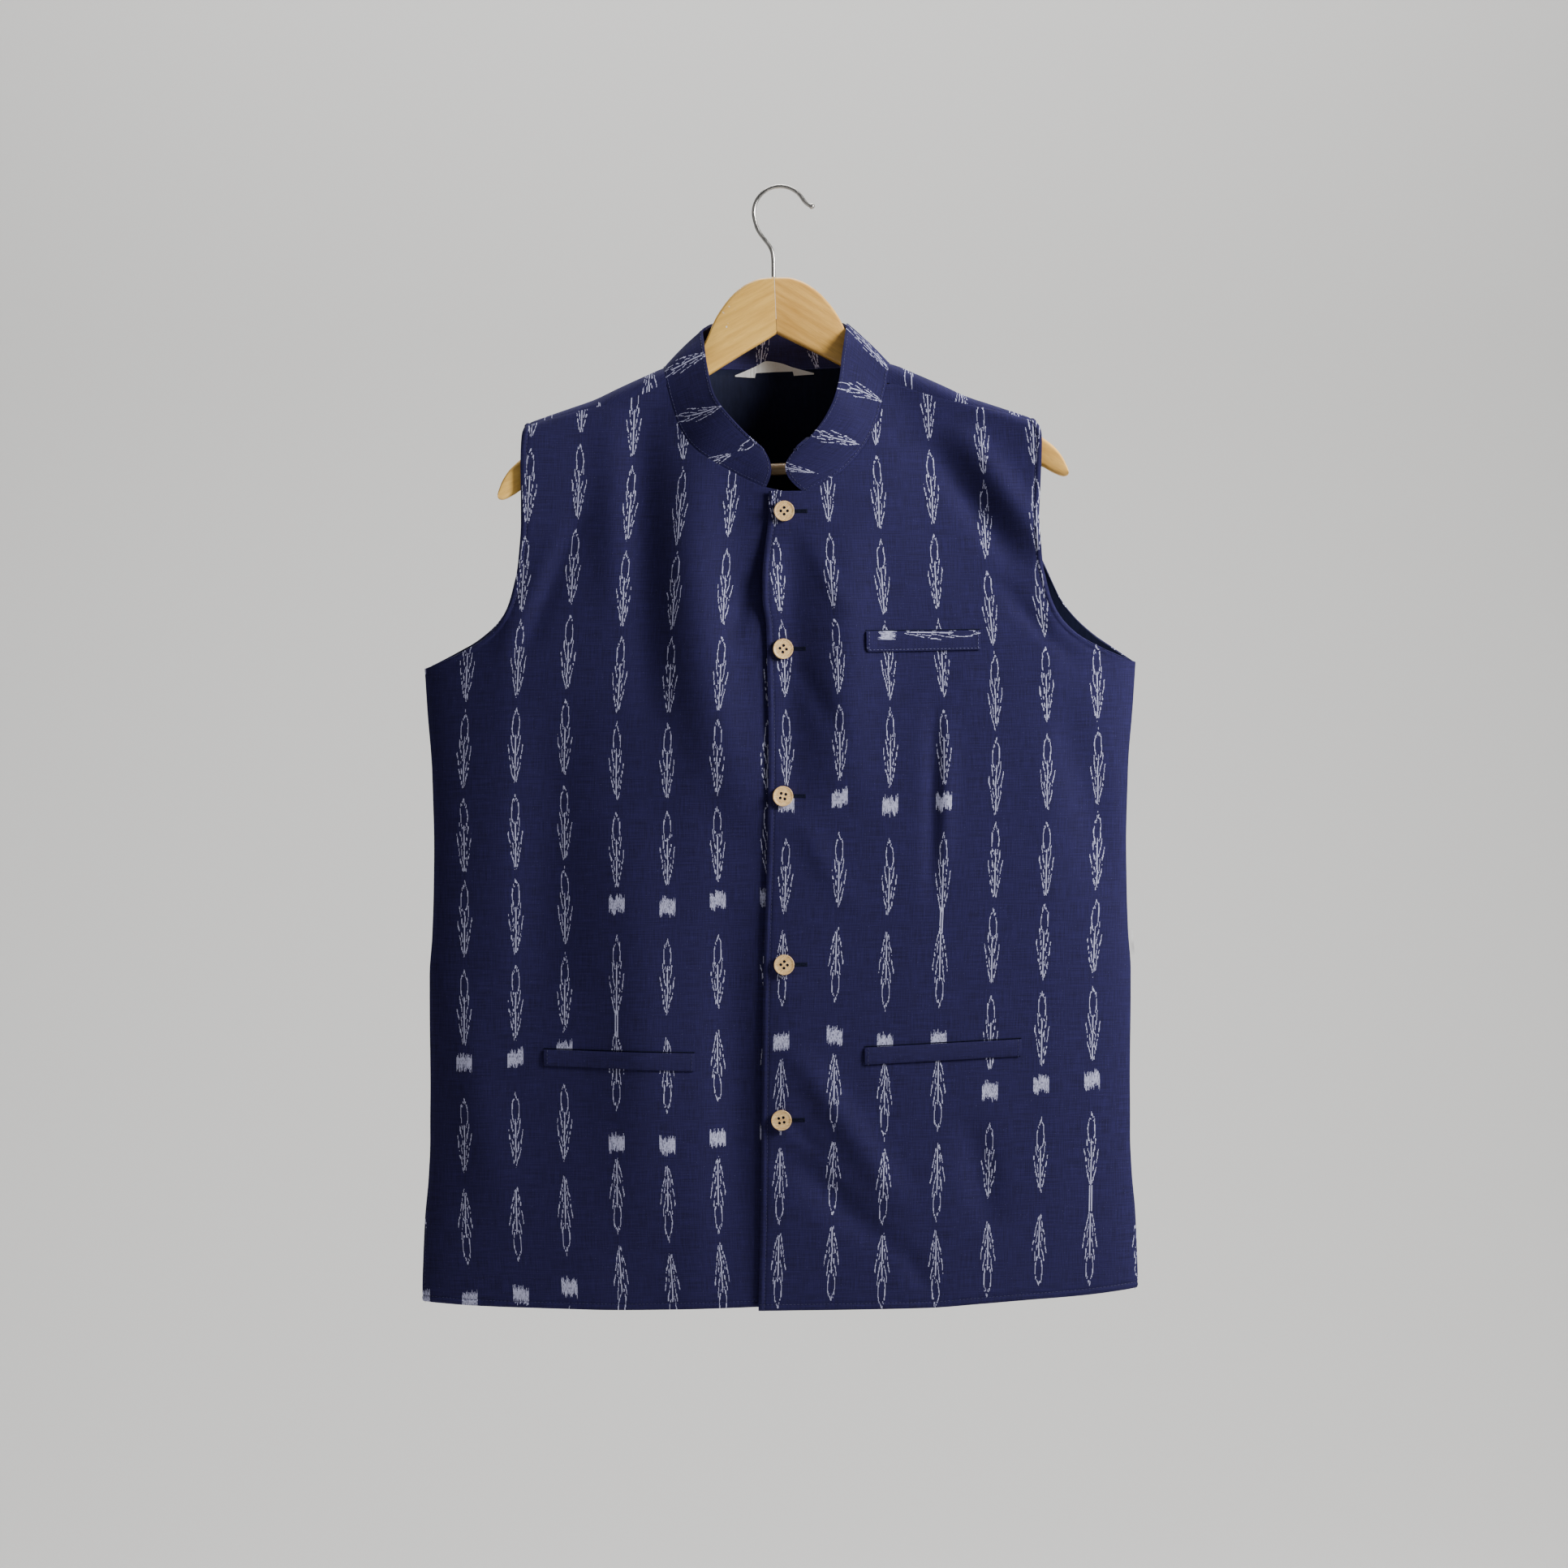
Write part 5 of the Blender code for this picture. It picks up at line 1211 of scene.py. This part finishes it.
right_neck = [place.point for place in under_rows[0][under_lead:under_lead + FRONT_NECK_CELLS + 1]]
left_neck = [place.point for place in over_rows[0][over_lead:over_lead + FRONT_NECK_CELLS + 1]]
rim = [place.point for place in back_neck_rim]
right_neck[-1] = (right_neck[-1] + rim[0]) / 2
left_neck[-1] = (left_neck[-1] + rim[-1]) / 2
seam = right_neck + rim[1:-1] + left_neck[::-1]
tops = collar_tops()
middles = [(low + top) / 2 for low, top in zip(seam, tops)]
lengths = [0.0]
for before, after in zip(middles, middles[1:]):
    lengths.append(lengths[-1] + (after - before).length)
grain_track = Profile(COLLAR_GRAIN)
rows = []
for level in spread(0.0, COLLAR_HEIGHT, COLLAR_CELLS, near_start=True, near_end=True):
    height = level / COLLAR_HEIGHT
    row = []
    for i, (low, top) in enumerate(zip(seam, tops)):
        base = low.lerp(top, -COLLAR_TURN / (top - low).length)
        point = base.lerp(top, height) + nose(height, i, len(seam) - 1)
        along = seam[min(i + 1, len(seam) - 1)] - seam[max(i - 1, 0)]
        outward = (top - low).cross(along).normalized()
        point += outward * COLLAR_BELLY * math.sin(math.pi * height)
        to_seam = (0.5 - height) * (top - low).length
        tilt = math.radians(grain_track.row(lengths[i])[1] / MM)
        column = grain_track(lengths[i] - to_seam * math.tan(tilt)) / MM
        row.append(Place(point, (column * COLUMN_STEP * MM, to_seam / math.cos(tilt))))
    rows.append(row)
collar = lay_cloth("collar", rows)
face_outward(collar)
press_edges(collar, outline(rows), (True, True, True, True), inset=COLLAR_INSET, pull=0.16)
surfaces["collar"] = surface_tree(collar)
thicken(collar, COLLAR_CLOTH)
collar_cotton = ikat_cotton("collar_ikat", 0.0, [Phase(-9, -252.5), Phase(-3, -285.5), Phase(0, 102.5)])
finish_piece(collar, "collar_band", [collar_cotton, collar_cotton], ["collar"])
collar_grid = rows


# The pocket welts
# Three strips of the cotton, turned so that their warp runs across the jacket, folded double and
# sewn on over the mouths of the pockets. The hip welts slope down to the middle.
WELT_CLOTH = 1.3 * MM
WELT_RISE = 1.7 * MM
WELT_PUFF = 0.5 * MM
WELT_STEPS = (0.0, 0.04, 0.09, 0.15, 0.22, 0.32, 0.42, 0.55, 0.68, 0.78, 0.85, 0.91, 0.96, 1.0)
CHEST_MOTIF = 83.8        # x of the block that shows on the chest welt
CHEST_CORNER = 3.0 * MM
PLAIN_STRETCH = 14.0      # millimetres from a column of leaves to the plain cloth of the hip welts
WELT_CELLS = 90
Welt = namedtuple("Welt", "name side x_in top_in low_in x_out top_out low_out flat_start")
WELTS = [
    Welt("chest_welt", "left", 65.8, 341.6, 357.6, 153.9, 341.5, 356.5, -1.2),
    Welt("hip_welt_left", "left", 65.0, 661.2, 674.4, 185.8, 656.2, 669.3, PLAIN_STRETCH),
    Welt("hip_welt_right", "right", -65.8, 664.4, 678.2, -181.8, 660.7, 673.2, PLAIN_STRETCH),
]

welt_cotton = ikat_cotton("welt_ikat", 0.0, [Phase(0, 0.0)], lean=0.025)
welt_grids = {}
for welt in WELTS:
    rows = []
    for down in WELT_STEPS:
        row = []
        for i in range(WELT_CELLS + 1):
            share = i / WELT_CELLS
            x = (welt.x_in + (welt.x_out - welt.x_in) * share) * MM
            top = (welt.top_in + (welt.top_out - welt.top_in) * share) * MM
            low = (welt.low_in + (welt.low_out - welt.low_in) * share) * MM
            if welt.name == "chest_welt":
                corner = max(1 - share * abs(welt.x_out - welt.x_in) * MM / CHEST_CORNER, 0.0)
                low -= CHEST_CORNER * (1 - math.sqrt(max(1 - corner * corner, 0.0)))
            drop = top + (low - top) * down
            start = cloth_place(1, x, drop, lift if welt.side == "left" else tuck)
            place, normal, _, _ = surfaces[welt.side].find_nearest(start)
            rise = WELT_RISE + WELT_PUFF * math.sin(math.pi * down)
            flat_place = (welt.flat_start * MM + drop - top, CHEST_MOTIF * MM - x)
            row.append(Place(place + normal * rise, flat_place))
        rows.append(row)
    strip = lay_cloth(welt.name, rows)
    face_outward(strip)
    press_edges(strip, outline(rows), (False, False, False, False))
    surfaces[welt.name] = surface_tree(strip)
    welt_grids[welt.name] = rows
    thicken(strip, WELT_CLOTH)
    finish_piece(strip, welt.name + "_strip", [welt_cotton, welt_cotton], [welt.name])
    area = abs(welt.x_out - welt.x_in) * (welt.low_in - welt.top_in) * MM ** 2
    welt.side + "_front_cloth"


# The stitching
# Lockstitch in navy thread, in lines a few millimetres inside the edges, along which the cloth is
# drawn down. The chest welt has a paler thread. A close row of dark beads over each welt is
# painted shadow, for the shade in its pocket's mouth.
STITCH_LENGTH = 2.3 * MM
STITCH_SPACING = 2.9 * MM
STITCH_WIDTH = 0.24 * MM
MOUTH_SHADOW_ABOVE = 0.7 * MM
MOUTH_SHADOW_SPACING = 1.2 * MM
MOUTH_SHADOW_WIDTH = 0.42 * MM
INSIDE = 8                # how many points in from an edge lies the one that its stitches' line aims at


def thread_finish(name, plain, dark, light):
    """Twisted cotton thread."""
    finish, tree, shader = new_finish(name, plain, 0.5)
    twist = grain(object_place(tree), 2500.0, 1.0, stretch=(1.0, 1.0, 0.4))
    wire(blend_of(between(twist, 0.35, 0.65), dark, light), shader.inputs["Base Color"])
    return finish


thread_navy = thread_finish("navy_thread_finish", (0.03, 0.03, 0.1),
                            (0.016, 0.015, 0.06), (0.04, 0.038, 0.13))
thread_pale = thread_finish("pale_thread_finish", (0.1, 0.1, 0.23),
                            (0.06, 0.06, 0.16), (0.15, 0.15, 0.3))


def inset_track(rows, from_end, across, inset, keep=None):
    """A track at a distance inside one edge of a grid of places."""
    first, second = (-1, -1 - INSIDE) if from_end else (0, INSIDE)
    if across:
        pairs = [(row[first].point, row[second].point)
                 for row in rows if keep is None or keep(row[0].flat[1])]
    else:
        edge, inner = rows[first], rows[second]
        pairs = [(place.point, within.point) for place, within in zip(edge, inner)]
    return [place + (within - place).normalized() * inset for place, within in pairs]


def lay_stitches(name, stitches, surface, thread, width=STITCH_WIDTH, rise=0.45):
    """Join slim beads of thread, each given by its middle and its half length, on a surface."""
    bpy.ops.object.select_all(action="DESELECT")
    bpy.ops.mesh.primitive_uv_sphere_add(segments=6, ring_count=4, radius=1.0)
    pattern = bpy.context.object
    pattern.select_set(False)
    for middle, half in stitches:
        place, normal, _, _ = surface.find_nearest(middle)
        side = normal.cross(half).normalized() * width
        up = normal * width
        bead = bpy.data.objects.new(name, pattern.data)
        bpy.context.collection.objects.link(bead)
        axes = Matrix((side, up, half)).transposed().to_4x4()
        bead.matrix_world = Matrix.Translation(place + up * rise) @ axes
        bead.select_set(True)
    bpy.context.view_layer.objects.active = bead
    bead.data = pattern.data.copy()
    bpy.ops.object.join()
    line = bpy.context.object
    bpy.data.objects.remove(pattern)
    return finish_piece(line, name, [thread], angle=80)


def sew(name, tracks, surface, thread, spacing=STITCH_SPACING, width=STITCH_WIDTH):
    """Lay a stitch at every step of the spacing along some tracks."""
    stitches = []
    for track in tracks:
        carried = spacing / 2
        for start, end in zip(track, track[1:]):
            span = (end - start).length
            while carried < span:
                half = (end - start).normalized() * STITCH_LENGTH / 2
                stitches.append((start.lerp(end, carried / span), half))
                carried += spacing
            carried -= span
    return lay_stitches(name, stitches, surface, thread, width)


def on_armhole(drop):
    return drop < UNDERARM


def on_vent(drop):
    return drop > VENT_TOP


for side, rows in (("left", over_rows), ("right", under_rows)):
    tracks = [inset_track(rows, False, True, EDGE_INSET), inset_track(rows, True, False, EDGE_INSET),
              inset_track(rows, True, True, EDGE_INSET, on_armhole),
              inset_track(rows, True, True, EDGE_INSET, on_vent)]
    sew(side + "_front_stitching", tracks, surfaces[side], thread_navy)
tracks = [inset_track(back_grid, True, False, EDGE_INSET)]
for from_end in (False, True):
    for keep in (on_armhole, on_vent):
        tracks.append(inset_track(back_grid[RIDGE_CELLS:], from_end, True, EDGE_INSET, keep))
sew("back_stitching", tracks, surfaces["back"], thread_navy)
tracks = [inset_track(collar_grid, from_end, across, COLLAR_INSET)
          for across in (False, True) for from_end in (False, True)]
sew("collar_stitching", tracks, surfaces["collar"], thread_navy)
for name, grid in welt_grids.items():
    thread = thread_pale if name == "chest_welt" else thread_navy
    tracks = [[row[2].point for row in grid], [row[-3].point for row in grid]]
    if name == "chest_welt":
        tracks.append([place.point for place in grid[-3]])
    sew(name + "_stitching", tracks, surfaces[name], thread)
# Over each welt, a close row of dark beads in the lining's colour: painted shadow for the shade in the
# pocket's mouth.
for welt in WELTS:
    mouth_shadow = [place.point + Vector((0.0, 0.0, MOUTH_SHADOW_ABOVE)) for place in welt_grids[welt.name][0]]
    sew(welt.name + "_mouth", [mouth_shadow], surfaces[welt.side], lining_navy, MOUTH_SHADOW_SPACING, MOUTH_SHADOW_WIDTH)


# The buttonholes
# Five slits in the over front, each edged with close purl stitches and barred at its far end, and
# darkened along its gap with painted shadow. They start under the buttons and run away from the edge.
HOLE_NEAR = 2.0 * MM
HOLE_FAR = 16.5 * MM
PURL_SPACING = 0.62 * MM
PURL_LENGTH = 1.5 * MM
PURL_WIDTH = 0.3 * MM
PURL_OUT = 0.55           # of a stitch's length from the slit to its middle
SLIT_SHADOW_WIDTH = 0.32 * MM
BAR_LENGTH = 3.6 * MM
BAR_STEP = 0.4 * MM
ButtonPlace = namedtuple("ButtonPlace", "x drop turn")
BUTTONS = [
    ButtonPlace(3.1, 248.8, 45), ButtonPlace(1.9, 354.4, 37), ButtonPlace(1.9, 467.5, -12),
    ButtonPlace(3.1, 596.9, 42), ButtonPlace(1.2, 716.3, 10),
]


def hole_point(button, out, down=0.0):
    return cloth_place(1, button.x * MM + out, button.drop * MM + down, lift)


purls = []
slit_shadows = []
for button in BUTTONS:
    count = round((HOLE_FAR - HOLE_NEAR) / PURL_SPACING)
    for i in range(count + 1):
        out = HOLE_NEAR + (HOLE_FAR - HOLE_NEAR) * i / count
        for side in (-1, 1):
            middle = hole_point(button, out, side * PURL_LENGTH * PURL_OUT)
            purls.append((middle, Vector((0.0, 0.0, PURL_LENGTH / 2))))
    for i in range(1, 4):
        middle = hole_point(button, HOLE_FAR + BAR_STEP * i)
        purls.append((middle, Vector((0.0, 0.0, BAR_LENGTH / 2))))
    # The slit is not cut: a dark bead in the lining's colour along it is painted shadow, for the shade in
    # its gap.
    middle = hole_point(button, (HOLE_NEAR + HOLE_FAR) / 2)
    slit_shadows.append((middle, Vector(((HOLE_FAR - HOLE_NEAR) / 2, 0.0, 0.0))))
lay_stitches("buttonhole_purls", purls, surfaces["left"], lining_navy, width=PURL_WIDTH)
lay_stitches("buttonhole_slits", slit_shadows, surfaces["left"], lining_navy, width=SLIT_SHADOW_WIDTH, rise=0.2)


# The buttons
# Turned from pale close-grained wood with a low rim and four holes, and sewn to the right front
# through their buttonholes with dark thread, which fills the holes.
BUTTON_RADIUS = 7.8 * MM
BUTTON_THICKNESS = 3.0 * MM
BUTTON_DISH = 0.7 * MM
BUTTON_RIM = 1.9 * MM
BUTTON_ROUND = 0.55 * MM
THREAD_HOLE = 1.15 * MM
THREAD_HOLE_OFFSET = 1.8 * MM
BUTTON_SHANK = 0.9 * MM
SHANK_LENGTH = 2.7 * MM
STRAND_RADIUS = 1.02 * MM
GRAIN_SHIFT = Vector((0.03, 0.05, 0.0))   # from each button's wood to the next one's

button_wood, tree, shader = new_finish("button_wood_finish", (0.7, 0.45, 0.22), 0.4)
lookup = tree.nodes.new("ShaderNodeAttribute")
lookup.attribute_name = "wood_place"
in_wood = Signal(lookup.outputs["Vector"])
rings = grain(in_wood, 1.0, 4.0, stretch=(260.0, 1500.0, 260.0))
flecks = grain(in_wood, 1.0, 2.0, stretch=(900.0, 4200.0, 900.0))
colour = blend_of(between(rings, 0.34, 0.66), (0.98, 0.68, 0.33), (0.7, 0.41, 0.16))
colour = blend_of(between(flecks, 0.56, 0.68, 0.0, 0.8), colour, (0.36, 0.18, 0.06))
wire(colour, shader.inputs["Base Color"])
raise_by(shader, rings, 0.2, 0.0002)

bpy.ops.object.select_all(action="DESELECT")
bpy.ops.mesh.primitive_cylinder_add(vertices=64, radius=BUTTON_RADIUS, depth=BUTTON_THICKNESS,
                                    location=(0.0, 0.0, BUTTON_THICKNESS / 2))
blank = bpy.context.object
bpy.ops.object.transform_apply(location=True)
bpy.ops.object.mode_set(mode="EDIT")
bpy.ops.mesh.select_mode(type="FACE")
bpy.ops.mesh.select_all(action="DESELECT")
bpy.ops.object.mode_set(mode="OBJECT")
for face in blank.data.polygons:
    face.select = face.normal.z > 0.9
bpy.ops.object.mode_set(mode="EDIT")
bpy.ops.mesh.inset(thickness=BUTTON_RIM)
bpy.ops.transform.translate(value=(0.0, 0.0, -BUTTON_DISH))
bpy.ops.mesh.select_all(action="DESELECT")
bpy.ops.mesh.select_mode(type="EDGE")
bpy.ops.mesh.edges_select_sharp(sharpness=math.radians(12))
bpy.ops.mesh.bevel(offset=BUTTON_ROUND, segments=4)
bpy.ops.object.mode_set(mode="OBJECT")
bpy.ops.object.select_all(action="DESELECT")
holes = [(x_side * THREAD_HOLE_OFFSET, y_side * THREAD_HOLE_OFFSET)
         for x_side in (-1, 1) for y_side in (-1, 1)]
for x, y in holes:
    bpy.ops.mesh.primitive_cylinder_add(vertices=24, radius=THREAD_HOLE, depth=4 * BUTTON_THICKNESS,
                                        location=(x, y, 0.0))
    drill = bpy.context.object
    cut = blank.modifiers.new("thread_hole", "BOOLEAN")
    cut.object = drill
    bpy.context.view_layer.objects.active = blank
    bpy.ops.object.modifier_apply(modifier=cut.name)
    bpy.data.objects.remove(drill)
wood_place = blank.data.attributes.new("wood_place", "FLOAT_VECTOR", "POINT")
for vertex, slot in zip(blank.data.vertices, wood_place.data):
    slot.vector = vertex.co

for number, place in enumerate(BUTTONS, start=1):
    start = cloth_place(1, place.x * MM, place.drop * MM, lift)
    foot, normal, _, _ = surfaces["left"].find_nearest(start)
    turned = normal.to_track_quat("Z", "Y") @ Quaternion((0.0, 0.0, 1.0), math.radians(place.turn))
    button = blank.copy()
    button.data = blank.data.copy()
    bpy.context.collection.objects.link(button)
    for slot in button.data.attributes["wood_place"].data:
        slot.vector = slot.vector + GRAIN_SHIFT * number
    button.rotation_mode = "QUATERNION"
    button.rotation_quaternion = turned
    button.location = foot + normal * BUTTON_SHANK
    finish_piece(button, "wood_button_%d" % number, [button_wood], ["button_%d" % number])
    bpy.ops.object.select_all(action="DESELECT")
    strands = []
    for x, y in holes:
        bpy.ops.mesh.primitive_cylinder_add(vertices=12, radius=STRAND_RADIUS, depth=SHANK_LENGTH,
                                            location=(x, y, SHANK_LENGTH / 2 - BUTTON_SHANK))
        strands.append(bpy.context.object)
    for strand in strands:
        strand.select_set(True)
    bpy.ops.object.transform_apply(location=True)
    bpy.ops.object.join()
    loops = bpy.context.object
    loops.rotation_mode = "QUATERNION"
    loops.rotation_quaternion = turned
    loops.location = foot + normal * BUTTON_SHANK
    finish_piece(loops, "button_thread_%d" % number, [lining_navy])
bpy.data.objects.remove(blank)


# The labels
# A blank satin label arches over the seam behind the neck, its two ends folded under, and a
# narrow care label stands out of the wearer's left side seam.
LABEL_CLOTH = 0.4 * MM
LABEL_GAP = 0.3 * MM
FOLD_RIGHT = -19.5 * MM
FOLD_LEFT = 10.3 * MM
LABEL_LEVELS = 8
LABEL_COLUMNS = 160
LabelRow = namedtuple("LabelRow", "x top low")
NECK_LABEL = [
    LabelRow(-35.2, 137.9, 139.0), LabelRow(-27.0, 134.4, 139.4), LabelRow(-19.8, 131.0, 139.7),
    LabelRow(-19.2, 130.7, 136.0), LabelRow(-10.4, 126.5, 135.4), LabelRow(-0.6, 127.9, 134.9),
    LabelRow(10.0, 131.6, 134.8), LabelRow(10.6, 131.8, 138.2), LabelRow(18.5, 134.2, 137.8),
    LabelRow(26.4, 136.4, 137.6),
]
SIDE_LABEL_TOP = 573.0 * MM
SIDE_LABEL_LOW = 593.0 * MM
SIDE_LABEL_OUT = 3.0 * MM
SIDE_LABEL_ROWS = 8
SIDE_LABEL_COLUMNS = 6

satin, tree, shader = new_finish("label_satin_finish", (0.74, 0.73, 0.71), 0.36)
weave = grain(object_place(tree), 1.0, 2.0, stretch=(5200.0, 5200.0, 1400.0))
wire(blend_of(between(weave, 0.3, 0.7), (0.66, 0.65, 0.63), (0.8, 0.79, 0.77)), shader.inputs["Base Color"])
shader.inputs["Sheen Weight"].default_value = 0.3
raise_by(shader, weave, 0.35, 0.0001)

label_track = Profile(NECK_LABEL)
backing = (surface_tree(collar), surface_tree(lining))
first, last = NECK_LABEL[0].x * MM, NECK_LABEL[-1].x * MM
columns = []
for i in range(LABEL_COLUMNS + 1):
    x = first + (last - first) * i / LABEL_COLUMNS
    top, low = label_track.row(x)
    heights = [ROLL * x - TAPE_ZERO - top - (low - top) * level / LABEL_LEVELS
               for level in range(LABEL_LEVELS + 1)]
    hits = [cloth.ray_cast(Vector((x, 0.0, z)), Vector((0.0, 1.0, 0.0)))[0]
            for cloth in backing for z in heights]
    nearest = min(hit.y for hit in hits if hit) - LABEL_GAP
    if not FOLD_RIGHT < x < FOLD_LEFT:
        nearest -= LABEL_CLOTH
    columns.append([Place(Vector((x, nearest, z)), (x, z)) for z in heights])
label = lay_cloth("neck_label_sheet", list(zip(*columns)))
if label.data.polygons[0].normal.y > 0:
    label.data.flip_normals()
thicken(label, LABEL_CLOTH)
finish_piece(label, "neck_label_satin", [satin, satin], ["neck_label"])

rows = []
for i in range(SIDE_LABEL_ROWS + 1):
    drop = SIDE_LABEL_TOP + (SIDE_LABEL_LOW - SIDE_LABEL_TOP) * i / SIDE_LABEL_ROWS
    seam_point = garment(side_seam(drop), fall_of(drop - ridge(side_seam(drop))))
    row = []
    for step in range(SIDE_LABEL_COLUMNS + 1):
        share = step / SIDE_LABEL_COLUMNS
        out = SEAM_GAP * 1.5 + SIDE_LABEL_OUT * share
        curl = 0.5 * MM * math.sin(i * 0.9) * share ** 2
        row.append(Place(seam_point + Vector((out, SEAM_GAP + curl, 0.0)), (out, drop)))
    rows.append(row)
care = lay_cloth("side_label_sheet", rows)
if care.data.polygons[0].normal.y > 0:
    care.data.flip_normals()
thicken(care, LABEL_CLOTH)
finish_piece(care, "care_label_satin", [satin, satin], ["side_label"])


# The stage
# A pale studio sweep, a key light from the viewer's right and a little in front, three weaker
# ones, and the camera where the photograph was taken from: level with the jacket's middle and
# three metres away.
FLOOR_DROP = 1.35
STAGE_SIZE = 14.0
BACKDROP_Y = 3.2
SWEEP_ROUND = 1.6
CAMERA_PLACE = (0.003, -3.03, -0.4633)
CAMERA_FOCAL_PIXELS = 4800.0
CAMERA_SENSOR = 36.0
PHOTO_PIXELS = 1932.0

bpy.ops.object.select_all(action="DESELECT")
bpy.ops.mesh.primitive_plane_add(size=STAGE_SIZE)
sweep = bpy.context.object
sweep.name = "studio_sweep"
bpy.ops.object.mode_set(mode="EDIT")
bpy.ops.mesh.select_all(action="DESELECT")
bpy.ops.object.mode_set(mode="OBJECT")
for edge in sweep.data.edges:
    edge.select = all(sweep.data.vertices[i].co.y > 0 for i in edge.vertices)
bpy.ops.object.mode_set(mode="EDIT")
bpy.ops.mesh.select_mode(type="EDGE")
bpy.ops.mesh.extrude_region_move(TRANSFORM_OT_translate={"value": (0.0, 0.0, STAGE_SIZE)})
bpy.ops.mesh.select_all(action="DESELECT")
bpy.ops.object.mode_set(mode="OBJECT")
for edge in sweep.data.edges:
    ends = [sweep.data.vertices[i].co for i in edge.vertices]
    edge.select = all(end.y > 0 and end.z < MM for end in ends)
bpy.ops.object.mode_set(mode="EDIT")
bpy.ops.mesh.bevel(offset=SWEEP_ROUND, segments=24)
bpy.ops.object.mode_set(mode="OBJECT")
sweep.location = (0.0, BACKDROP_Y - STAGE_SIZE / 2, -FLOOR_DROP)
bpy.ops.object.transform_apply(location=True)
bpy.ops.object.shade_smooth()
sweep.data.materials.append(new_finish("studio_pale", (0.74, 0.73, 0.71), 0.9)[0])

for name, place, aim, size, power in (
        ("key_light", (1.12, -0.62, 0.12), (0.1, 0.0, -0.42), 0.5, 34.0),
        ("fill_light", (-1.9, -2.4, 0.3), (0.0, 0.0, -0.5), 1.6, 4.0),
        ("top_light", (0.1, 0.5, 1.3), (0.0, 0.0, -0.2), 0.8, 7.0),
        ("backdrop_light", (0.0, 1.2, 2.6), (0.0, BACKDROP_Y, -0.6), 3.0, 160.0)):
    bpy.ops.object.light_add(type="AREA", location=place)
    lamp = bpy.context.object
    lamp.name = name
    lamp.data.size = size
    lamp.data.energy = power
    lamp.rotation_euler = (Vector(aim) - Vector(place)).to_track_quat("-Z", "Y").to_euler()

world = bpy.data.worlds.new("studio_world")
bpy.context.scene.world = world
world.use_nodes = True
sky = world.node_tree.nodes["Background"]
sky.inputs["Color"].default_value = (0.8, 0.82, 0.86, 1.0)
sky.inputs["Strength"].default_value = 0.13

bpy.ops.object.camera_add(location=CAMERA_PLACE, rotation=(math.pi / 2, 0.0, 0.0))
camera = bpy.context.object
camera.name = "photo_camera"
camera.data.sensor_width = CAMERA_SENSOR
camera.data.lens = CAMERA_SENSOR * CAMERA_FOCAL_PIXELS / PHOTO_PIXELS
bpy.context.scene.camera = camera
